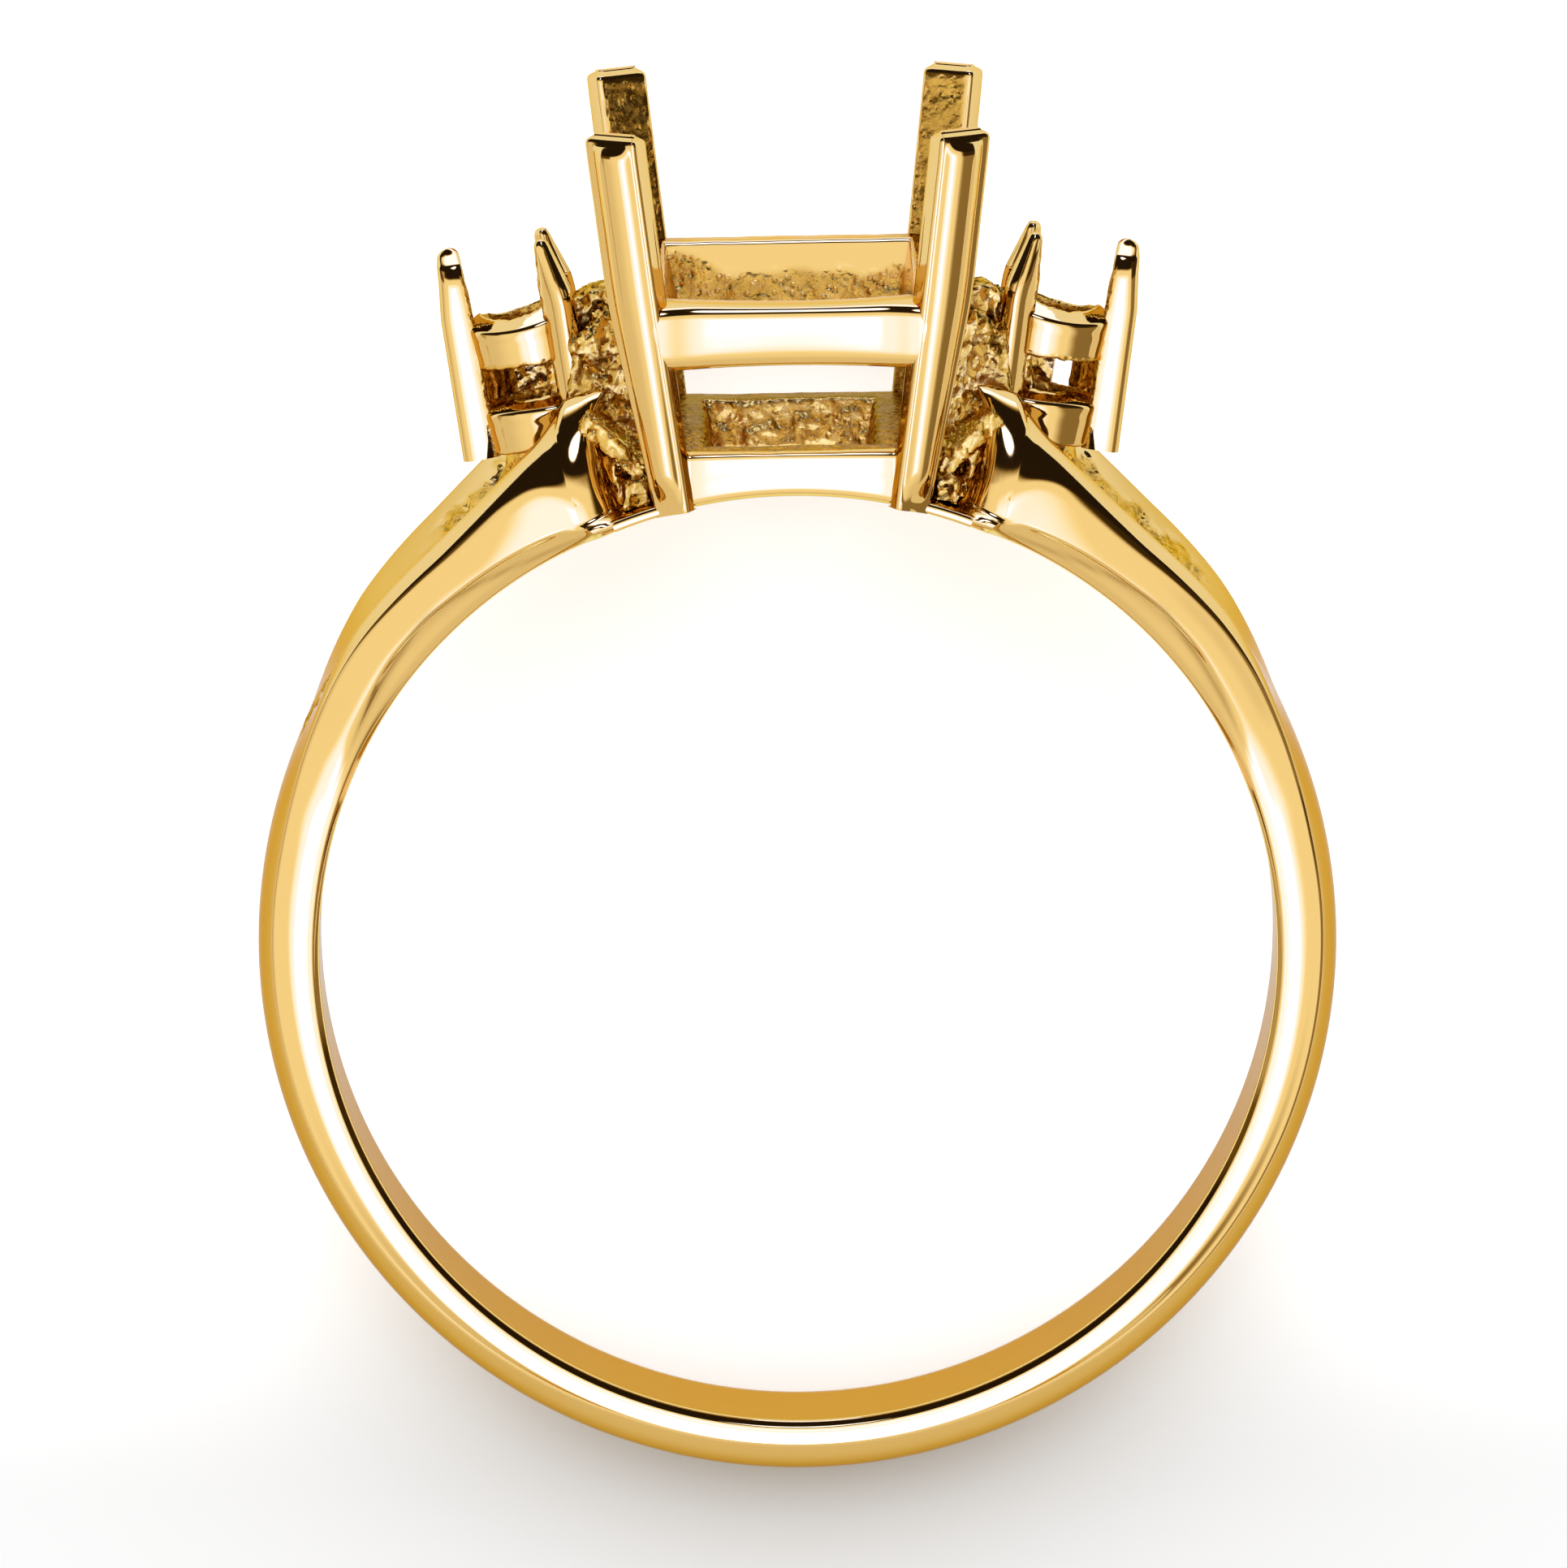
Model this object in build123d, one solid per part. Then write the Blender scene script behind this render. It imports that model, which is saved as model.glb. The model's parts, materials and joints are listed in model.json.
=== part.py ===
from build123d import *
from math import acos, atan2, cos, degrees, radians, sin, sqrt, tan
import os

# Semi mount ring setting in polished gold: a split shank, a four prong centre
# head for an oblong stone and two three prong side heads, all soldered into
# one piece of metal. It is modelled upright in its own frame, with the finger
# hole along Y and the head towards +Z, and laid on its side at the end.

# Finger hole and band
finger_hole_diameter = 17.3
band_width = 2.7
band_edge_thickness = 0.92
band_crown_rise = 0.20
hole_bevel = 0.10

# Split shoulders, which rise from the band to a peak on each side of the head
shoulder_start_angle = 16.0
shoulder_gap = 1.19
shoulder_setback = 0.04
ridge_setback = 0.05
peak_rise = 2.30
ridge_bevel_rise = 0.13
channel_depth = 0.12
bridge_width = 4.1
bridge_step = 0.15
rim_thickness = 0.20

# Centre head, for a stone of this length and width. Rises are above the top
# of the finger hole, and insets are from the stone's outline.
stone_length = 8.0
stone_width = 6.0
base_rise = 0.87
gallery_rise = 3.68
prong_tip_rise = 6.73
prong_foot_drop = 0.35
gallery_depth = 1.28
rail_thickness = 0.76
rail_corner_radius = 0.45
rail_lean = 0.2
base_inset = 0.68
gallery_inset = 0.02
prong_foot_inset = 0.84
prong_rail_inset = 0.14
prong_tip_outset = 0.23
prong_width = 1.08
prong_thickness = 0.54
prong_foot_width = 0.70
prong_foot_thickness = 0.43
prong_rib_height = 0.16
prong_end_rib_height = 0.05
prong_tip_bevel = 0.14
prong_rib_foot_share = 0.62
prong_rib_top_share = 0.34

# Side heads
side_head_spacing = 2.09
side_tip_rise = 4.26
side_head_tilt = 9.5
side_prong_inner_radius = 0.80
side_prong_outer_radius = 1.39
side_prong_foot_radius = 1.28
side_prong_bend_radius = 1.29
side_prong_width = 0.46
side_prong_drop = 3.84
side_tip_radius = 0.98
side_tip_width = 0.24
side_tip_length = 0.25
side_tip_taper = 1.15
side_rail_inner_radius = 0.70
side_rail_outer_radius = 1.12
side_gallery_drop = 1.24
side_gallery_depth = 0.99
side_gap = 0.62
side_base_depth = 0.95
side_scallop_depth = 0.25
side_prong_angles = (0.0, 135.0, 225.0)
side_stem_radius = 0.92
web_width = 1.0
web_foot_drop = 0.12
web_top_drop = 0.48

# Values worked out from the sizes above
hole_radius = finger_hole_diameter / 2
band_edge_radius = hole_radius + band_edge_thickness
band_crown_radius = band_edge_radius + band_crown_rise
band_half_width = band_width / 2
dome_curve_radius = (band_half_width**2 + band_crown_rise**2) / (2 * band_crown_rise)
wall_overlap = band_edge_thickness / 4
channel_floor_radius = band_crown_radius - channel_depth
prong_foot_height = hole_radius - prong_foot_drop
base_top_height = hole_radius + base_rise
gallery_top_height = hole_radius + gallery_rise
prong_tip_height = hole_radius + prong_tip_rise
side_tip_height = hole_radius + side_tip_rise
side_head_offset = stone_width / 2 + side_head_spacing
base_foot_inset = base_inset + rail_lean * (base_top_height - prong_foot_height)
base_foot_half_width = stone_width / 2 - base_foot_inset
shoulder_hole_half = stone_length / 2 - base_foot_inset - shoulder_setback
hole_spread = shoulder_hole_half - band_half_width
ridge_spread = hole_spread - ridge_setback
ridge_rise = peak_rise - band_edge_thickness
shoulder_end_angle = degrees(acos((base_foot_half_width + shoulder_gap) / band_crown_radius))

# Sections of one shoulder, all as shares: along the shoulder's angle, of the
# spread at the hole, of the spread at the ridge, of the ridge's rise, of the
# ridge's bevel, of the channel's depth, and then the bevel's and the channel
# floor's half width as shares of the half width at the ridge.
SHOULDER_COLUMNS = (
    "along", "hole", "spread", "rise", "bevel", "channel", "bevel_width", "floor",
)
SHOULDER_ROWS = (
    (0.20, 0.14, 0.02, 0.08, 0.60, 0.0, 0.45, 0.12),
    (0.36, 0.31, 0.12, 0.16, 0.95, 0.7, 0.36, 0.24),
    (0.52, 0.49, 0.32, 0.17, 1.00, 1.0, 0.22, 0.40),
    (0.68, 0.66, 0.58, 0.25, 1.00, 1.0, 0.16, 0.52),
    (0.80, 0.79, 0.75, 0.46, 1.00, 1.0, 0.13, 0.60),
    (0.92, 0.92, 0.90, 0.77, 1.00, 1.0, 0.10, 0.66),
    (1.00, 1.00, 1.00, 1.00, 0.60, 1.0, 0.08, 0.68),
)


def ring_point(angle, width, radius):
    """A point at this angle round the hole, this far along it and out from it."""
    return Vector(radius * cos(radians(angle)), width, radius * sin(radians(angle)))


def dome_radius(width):
    """Radius of the domed outer face of the plain band at this distance from its middle."""
    return band_crown_radius - dome_curve_radius + sqrt(dome_curve_radius**2 - width**2)


def dome_arc(first, last):
    """Stretch of the dome's outline at the shoulder's start, between two half widths."""
    widths = (first, (first + last) / 2, last)
    return Edge.make_three_point_arc(
        *[ring_point(shoulder_start_angle, width, dome_radius(width)) for width in widths]
    )


def band_profile():
    """Half section of the plain band: side walls, hole bevels and a domed outer face."""
    low = hole_radius
    bevel = hole_bevel
    corners = [
        (-band_half_width, band_edge_radius),
        (-band_half_width, low + bevel),
        (-band_half_width + bevel, low),
        (band_half_width - bevel, low),
        (band_half_width, low + bevel),
        (band_half_width, band_edge_radius),
    ]
    points = [ring_point(shoulder_start_angle, width, radius) for width, radius in corners]
    walls = [Edge.make_line(first, last) for first, last in zip(points, points[1:])]
    return Face(Wire(walls + [dome_arc(band_half_width, -band_half_width)]))


def plain_band():
    """The plain part of the band, from one shoulder round the bottom to the other."""
    sweep_angle = 180 + 2 * shoulder_start_angle
    return revolve(band_profile(), axis=Axis.Y, revolution_arc=sweep_angle)


def shoulder_section(row):
    """Closed outline of a shoulder at one row of the table: two legs and their channel."""
    share = dict(zip(SHOULDER_COLUMNS, row))
    angle = shoulder_start_angle + share["along"] * (shoulder_end_angle - shoulder_start_angle)
    hole_half = band_half_width + share["hole"] * hole_spread
    ridge_half = band_half_width + share["spread"] * ridge_spread
    edge_radius = band_edge_radius + share["rise"] * ridge_rise
    top_radius = edge_radius + share["bevel"] * ridge_bevel_rise
    floor_radius = band_crown_radius - share["channel"] * channel_depth
    half = foot_corners(hole_half) + [
        (ridge_half, edge_radius),
        (ridge_half * (1 - share["bevel_width"]), top_radius),
        (ridge_half * share["floor"], floor_radius),
    ]
    other = [(-width, radius) for width, radius in reversed(half)]
    return Wire.make_polygon([ring_point(angle, *corner) for corner in half + other], close=True)


def foot_corners(half_width):
    """Corners at the finger hole: a bevel that runs on below the wall that the hole cuts."""
    below = half_width - hole_bevel - wall_overlap
    return [(below, hole_radius - wall_overlap), (half_width, hole_radius + hole_bevel)]


def band_end_section():
    """The shoulder's first outline, whose arcs match the plain band's dome."""
    bevel_start = band_half_width * (1 - SHOULDER_ROWS[0][6])
    floor_start = band_half_width * SHOULDER_ROWS[1][7]
    half = foot_corners(band_half_width) + [(band_half_width, band_edge_radius)]
    other = [(-width, radius) for width, radius in reversed(half)]
    widths = [band_half_width, bevel_start, floor_start, -floor_start, -bevel_start, -band_half_width]
    lines = polyline(half) + [dome_arc(*pair) for pair in zip(widths, widths[1:])] + polyline(other)
    closing = Edge.make_line(ring_point(shoulder_start_angle, *other[-1]), lines[0] @ 0)
    return Wire(lines + [closing])


def polyline(corners):
    """Straight edges at the shoulder's start through these corners."""
    points = [ring_point(shoulder_start_angle, *corner) for corner in corners]
    return [Edge.make_line(first, last) for first, last in zip(points, points[1:])]


def shoulder():
    """The right shoulder: the band opens into a front and a back leg with a channel between."""
    outlines = [band_end_section()] + [shoulder_section(row) for row in SHOULDER_ROWS]
    return Solid.make_loft(outlines, ruled=True)


def shoulder_bridge():
    """The low block and thin rim that carry the right shoulder on to the centre head."""
    inner_x = base_foot_half_width - rail_thickness / 2
    outer_x = base_foot_half_width + shoulder_gap + rail_thickness
    block_foot = hole_radius * sin(radians(shoulder_end_angle)) - wall_overlap
    block = Pos((inner_x + outer_x) / 2, 0, block_foot) * Box(
        outer_x - inner_x,
        bridge_width,
        base_top_height - bridge_step - block_foot,
        align=(Align.CENTER, Align.CENTER, Align.MIN),
    )
    rim_half = shoulder_hole_half - rim_thickness / 2
    rim_corners = [
        (-rim_half, hole_radius - wall_overlap),
        (rim_half, hole_radius - wall_overlap),
        (rim_half, hole_radius + rim_thickness),
        (-rim_half, hole_radius + rim_thickness),
    ]
    rim_stop = degrees(atan2(hole_radius, inner_x))
    outline = [ring_point(shoulder_end_angle, *corner) for corner in rim_corners]
    rim = revolve(
        Face(Wire.make_polygon(outline, close=True)),
        axis=-Axis.Y,
        revolution_arc=rim_stop - shoulder_end_angle,
    )
    return block + rim


def rail(top_height, bottom_height, inset):
    """One oblong rail of the centre head, leaning outwards as the prongs do."""
    outer = []
    inner = []
    for height in (bottom_height, top_height):
        shift = -inset + rail_lean * (height - top_height)
        length = stone_length + 2 * shift
        width = stone_width + 2 * shift
        level = Plane.XY.offset(height)
        outer.append(level * RectangleRounded(width, length, rail_corner_radius))
        inner.append(
            level * RectangleRounded(
                width - 2 * rail_thickness, length - 2 * rail_thickness, rail_corner_radius
            )
        )
    return loft(outer, ruled=True) - loft(inner, ruled=True)


def gallery():
    """The upper rail, on which the stone sits."""
    return rail(gallery_top_height, gallery_top_height - gallery_depth, gallery_inset)


def base_gallery():
    """The lower rail, whose underside the finger hole arches later."""
    return rail(base_top_height, prong_foot_height - wall_overlap, base_inset)


def prong_outline(height, outset, width, thickness, rib_height):
    """Outline of a corner prong at one height: a bar across the corner with a rounded rib."""
    rib_foot = prong_rib_foot_share * width / 2
    rib_top = prong_rib_top_share * width / 2
    local = [
        (-width / 2, -thickness),
        (width / 2, -thickness),
        (width / 2, 0),
        (rib_foot, 0),
        (rib_top, rib_height),
        (-rib_top, rib_height),
        (-rib_foot, 0),
        (-width / 2, 0),
    ]
    diagonal = sqrt(0.5)
    points = []
    for across, out in local:
        x = stone_width / 2 + outset + (across + out) * diagonal
        y = stone_length / 2 + outset + (out - across) * diagonal
        points.append(Vector(x, y, height))
    return Wire.make_polygon(points, close=True)


def corner_prong():
    """The corner prong on +X and +Y: narrow at its foot, full width from the rail up."""
    tip_bend = prong_tip_height - prong_tip_bevel
    full = (prong_width, prong_thickness, prong_rib_height)
    outlines = [
        prong_outline(
            prong_foot_height,
            -prong_foot_inset,
            prong_foot_width,
            prong_foot_thickness,
            prong_end_rib_height,
        ),
        prong_outline(gallery_top_height, -prong_rail_inset, *full),
        prong_outline(tip_bend, prong_tip_outset, *full),
        prong_outline(
            prong_tip_height,
            prong_tip_outset - prong_tip_bevel,
            prong_width - 2 * prong_tip_bevel,
            prong_thickness - 2 * prong_tip_bevel,
            prong_end_rib_height,
        ),
    ]
    return Solid.make_loft(outlines, ruled=True)


def centre_head():
    """The four corner prongs with the gallery and the base gallery."""
    prong = corner_prong()
    front_and_back = prong + mirror(prong, about=Plane.XZ)
    prongs = front_and_back + mirror(front_and_back, about=Plane.YZ)
    return gallery() + base_gallery() + prongs


def side_prong_section(drop, outer_radius, inner_radius, width):
    """Cross-section of a side prong this far below the tips."""
    depth = outer_radius - inner_radius
    return Plane.XY.offset(-drop) * Pos(inner_radius + depth / 2, 0) * Rectangle(depth, width)


def side_prong(angle):
    """One side prong, its tips' level at zero: the outer one is blunt, the others taper."""
    blunt = angle == side_prong_angles[0]
    bend = side_tip_length if blunt else side_tip_taper
    bend_radius = side_prong_bend_radius if blunt else side_prong_outer_radius
    tip_inner = side_tip_radius - side_tip_width / 2 if blunt else side_prong_inner_radius
    inner = side_prong_inner_radius
    sections = [
        side_prong_section(side_prong_drop, side_prong_foot_radius, inner, side_prong_width),
        side_prong_section(side_gallery_drop, side_prong_outer_radius, inner, side_prong_width),
        side_prong_section(bend, bend_radius, inner, side_prong_width),
        side_prong_section(0, tip_inner + side_tip_width, tip_inner, side_tip_width),
    ]
    return Rot(0, 0, angle) * loft(sections, ruled=True)


def side_rail(top_drop, depth):
    """One round rail of a side head, its top this far below the tips."""
    outer = Pos(0, 0, -top_drop - depth) * Cylinder(
        side_rail_outer_radius, depth, align=(Align.CENTER, Align.CENTER, Align.MIN)
    )
    return outer - Pos(0, 0, -top_drop - depth) * Cylinder(
        side_rail_inner_radius, depth, align=(Align.CENTER, Align.CENTER, Align.MIN)
    )


def scallop_cuts():
    """Round cutters that dip the gallery's top edge between the side prongs."""
    cuts = Part()
    turns = list(side_prong_angles) + [side_prong_angles[0] + 360]
    for first, second in zip(turns, turns[1:]):
        chord = 2 * side_rail_outer_radius * sin(radians(second - first) / 2)
        radius = (chord * chord / 4 + side_scallop_depth**2) / (2 * side_scallop_depth)
        height = radius - side_gallery_drop - side_scallop_depth
        cutter = Pos(side_rail_outer_radius, 0, height) * Rot(0, 90, 0) * Cylinder(
            radius, 2 * side_rail_outer_radius
        )
        cuts += Rot(0, 0, (first + second) / 2) * cutter
    return cuts


def side_head():
    """The right side head: three prongs, a scalloped gallery, a base ring and its stem."""
    upper = side_rail(side_gallery_drop, side_gallery_depth) - scallop_cuts()
    base_drop = side_gallery_drop + side_gallery_depth + side_gap
    lower = side_rail(base_drop, side_base_depth)
    head = upper + lower
    for angle in side_prong_angles:
        head += side_prong(angle)
    floor_height = sqrt(channel_floor_radius**2 - side_head_offset**2)
    stem_top = base_drop + side_base_depth / 2
    stem_length = side_tip_height - stem_top - floor_height + wall_overlap
    head += Pos(0, 0, -stem_top) * Cylinder(
        side_stem_radius, stem_length, align=(Align.CENTER, Align.CENTER, Align.MAX)
    )
    return Pos(side_head_offset, 0, side_tip_height) * Rot(0, side_head_tilt, 0) * head


def side_web():
    """The cast web from the centre head's gallery into the right side head's rails."""
    inner_x = stone_width / 2 - gallery_inset - rail_thickness / 2
    foot = base_top_height - web_foot_drop
    top = gallery_top_height - web_top_drop
    corners = [(inner_x, foot), (web_end(foot), foot), (web_end(top), top), (inner_x, top)]
    outline = Wire.make_polygon([Vector(x, web_width / 2, z) for x, z in corners], close=True)
    return extrude(Face(outline), amount=web_width, dir=(0, -1, 0))


def web_end(height):
    """Where the web ends, half way through the wall of the tilted side head's rails."""
    rail_middle = (side_rail_inner_radius + side_rail_outer_radius) / 2
    lean = radians(side_head_tilt)
    return side_head_offset - (side_tip_height - height) * tan(lean) - rail_middle / cos(lean)


def finger_hole():
    """The cutter for the finger hole."""
    return Rot(90, 0, 0) * Cylinder(hole_radius, 2 * stone_length)


def upright_ring():
    """The whole ring upright, one solid, with the finger hole bored through it last."""
    half = shoulder() + shoulder_bridge() + side_head() + side_web()
    metal = centre_head() + half + mirror(half, about=Plane.YZ) + plain_band()
    return metal - finger_hole()


def resting_tilt():
    """Angle that brings the back prongs' outer corners level with the band's back edge."""
    corner = stone_length / 2 + prong_tip_outset + prong_width / 2 * sqrt(0.5)
    reach = corner - band_half_width
    span = prong_tip_height - prong_tip_bevel + band_edge_radius
    return degrees(atan2(reach, span))


def lay_on_its_side(ring):
    """The ring on its back prongs and its band, its box centred over the origin."""
    turned = Rot(resting_tilt() - 90, 0, 0) * ring
    box = turned.bounding_box()
    return Pos(-box.center().X, -box.center().Y, -box.min.Z) * turned


os.makedirs("parts", exist_ok=True)
ring_setting = lay_on_its_side(upright_ring())
export_step(ring_setting, "parts/ring_setting.step")
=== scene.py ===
"""Looks of a semi mount ring setting in polished gold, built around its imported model.

The ring lies on its side. Its pieces are modelled upright in millimetres, with the finger
hole along Y, the head towards +Z and the side that the camera sees towards -Y, and are
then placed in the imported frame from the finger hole's place and axis.
"""

from __future__ import annotations

import json
import logging
import math
from dataclasses import dataclass, field
from enum import Enum
from typing import Any, Sequence

import bmesh
import bpy
import numpy as np
from mathutils import Matrix, Vector, noise
from mathutils.geometry import tessellate_polygon

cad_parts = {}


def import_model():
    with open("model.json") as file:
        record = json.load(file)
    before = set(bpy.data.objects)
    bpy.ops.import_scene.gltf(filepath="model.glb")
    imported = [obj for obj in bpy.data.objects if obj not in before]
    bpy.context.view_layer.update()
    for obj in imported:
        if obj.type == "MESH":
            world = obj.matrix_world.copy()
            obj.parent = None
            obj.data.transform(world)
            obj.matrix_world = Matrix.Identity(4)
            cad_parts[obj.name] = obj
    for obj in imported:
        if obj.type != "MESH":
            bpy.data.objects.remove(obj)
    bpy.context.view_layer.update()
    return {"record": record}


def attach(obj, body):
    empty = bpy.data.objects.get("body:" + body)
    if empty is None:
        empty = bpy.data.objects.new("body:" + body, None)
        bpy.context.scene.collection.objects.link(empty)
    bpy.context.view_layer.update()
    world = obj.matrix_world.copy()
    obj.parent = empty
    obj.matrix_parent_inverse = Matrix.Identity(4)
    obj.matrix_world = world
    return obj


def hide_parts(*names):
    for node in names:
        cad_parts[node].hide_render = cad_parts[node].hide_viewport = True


LOG = logging.getLogger("ring_setting")
METRES_PER_MM = 0.001
BODY = "root"
NODE = "ring_setting"
# Point attribute with the share of rough cast, and below 0 a painted dark line of shade in a crease.
CAST_AND_SHADE_ATTRIBUTE = "cast_and_shade"
SHARP_ANGLE = math.radians(50)

Array = np.ndarray


# Numbers and curves


def smooth_step(value: Any, low: float = 0.0, high: float = 1.0) -> Any:
    """Ease from 0 to 1 as the value goes from low to high, for numbers and arrays."""
    held = np.clip((value - low) / (high - low), 0.0, 1.0)
    return held * held * (3.0 - 2.0 * held)


def eased_curve(knots: Sequence[float], values: Sequence[float], at: Any, ease: float) -> Any:
    """Straight runs between knots, rounded where they meet.

    Args:
        knots: Rising places of the values.
        values: The values at the knots.
        at: The places to read.
        ease: How far the rounding reaches to each side.

    Returns:
        The curve's value at each place.
    """
    offsets = np.linspace(-1.0, 1.0, 15)
    weights = 1.0 + np.cos(np.pi * offsets)
    place = np.asarray(at, float)[..., None] + ease * offsets
    return (np.interp(place, knots, values) * weights).sum(axis=-1) / weights.sum()


def trace(nodes: Array, counts: Sequence[int]) -> Array:
    """Smooth outlines through nodes with given directions.

    A node is across, out and tilt in degrees: tilt 0 runs outwards and 90 runs across, and
    the metal lies to the right of the line.

    Args:
        nodes: Nodes as any number of outlines, nodes and their three values.
        counts: Points for each stretch between two nodes, its first node included.

    Returns:
        The points of each outline, with the last node at the end.
    """
    nodes = np.asarray(nodes, float)
    ends = nodes[..., :2]
    turns = np.radians(nodes[..., 2])
    ways = np.stack((np.sin(turns), np.cos(turns)), axis=-1)
    parts = []
    for index, count in enumerate(counts):
        first, last = ends[..., index, :], ends[..., index + 1, :]
        turn = turns[..., index + 1] - turns[..., index]
        pull = np.linalg.norm(last - first, axis=-1) / np.cos(turn / 4) ** 2
        start = ways[..., index, :] * pull[..., None]
        stop = ways[..., index + 1, :] * pull[..., None]
        for t in np.arange(count) / count:
            a = 2 * t**3 - 3 * t**2 + 1
            b = t**3 - 2 * t**2 + t
            c = 3 * t**2 - 2 * t**3
            d = t**3 - t**2
            parts.append(a * first + b * start + c * last + d * stop)
    parts.append(ends[..., len(counts), :])
    return np.stack(parts, axis=-2)


def trace_each(like: Array, nodes: Sequence[Sequence[Any]], counts: Sequence[int]) -> Array:
    """Trace outlines through nodes whose values are numbers, or have one number for each outline.

    Args:
        like: An array with one value for each outline.
        nodes: The nodes, with values as trace takes them.
        counts: Points for each stretch between two nodes, its first node included.

    Returns:
        The points of each outline.
    """
    rows = [np.stack(np.broadcast_arrays(like, *node)[1:], axis=-1) for node in nodes]
    return trace(np.stack(rows, axis=1), counts)


def both_halves(half: Array) -> Array:
    """Close half outlines, which run from the middle line and back to it, with their mirror image."""
    other = half[..., -2:0:-1, :] * np.array((-1.0, 1.0))
    return np.concatenate((half, other), axis=-2)


def cast_noise(points: Array, size: float, seed: float) -> Array:
    """Uneven cast surface as layered noise.

    Args:
        points: Places in millimetres, with the coordinates last.
        size: Size of its largest lumps, in millimetres.
        seed: Where the noise is read.

    Returns:
        A value of about -1 to 1 for each place.
    """
    flat = points.reshape(-1, 3) / size
    shift = Vector((seed, -0.7 * seed, 0.4 * seed))
    values = [noise.fractal(Vector(place) + shift, 0.8, 2.1, 4) for place in flat]
    return np.array(values).reshape(points.shape[:-1])


def clear_hole(points: Array, radius: float) -> None:
    """Move points that stand in the finger hole up to its wall."""
    wall = np.sqrt(np.maximum(radius**2 - points[..., 0] ** 2, 0.0))
    points[..., 2] = np.maximum(points[..., 2], wall)


# The ring's own frame and its meshes


class RingFrame:
    """The ring's upright frame in millimetres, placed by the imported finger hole."""

    def __init__(self, record: dict[str, Any]) -> None:
        """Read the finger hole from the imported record.

        Args:
            record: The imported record.
        """
        mounts = {mount["name"]: mount for mount in record["mounts"]}
        hole = mounts["finger_hole"]
        self.origin = Vector(hole["pos_m"])
        self.back = -Vector(hole["axis"]).normalized()
        self.right = Vector((1.0, 0.0, 0.0))
        self.up = self.right.cross(self.back)
        self.hole_radius = float(hole["dims"]["r_mm"])

    def matrix(self) -> Matrix:
        """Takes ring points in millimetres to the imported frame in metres."""
        turn = Matrix((self.right, self.back, self.up)).transposed().to_4x4()
        return Matrix.Translation(self.origin) @ turn @ Matrix.Scale(METRES_PER_MM, 4)

    def point(self, place: Sequence[float]) -> Vector:
        """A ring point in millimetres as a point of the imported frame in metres."""
        return self.matrix() @ Vector(place)

    def direction(self, vector: Sequence[float]) -> Vector:
        """A direction of the ring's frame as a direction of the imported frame."""
        return self.matrix().to_3x3() @ Vector(vector) / METRES_PER_MM


class Side(Enum):
    """The ring's two sides, of which the left is made as the right one's mirror image."""

    RIGHT = 1
    LEFT = -1

    @property
    def label(self) -> str:
        """The side in a piece's name."""
        return self.name.lower()

    @property
    def matrix(self) -> Matrix:
        """Takes a shape on the right side to this side."""
        return Matrix.Diagonal((self.value, 1.0, 1.0, 1.0))


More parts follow.
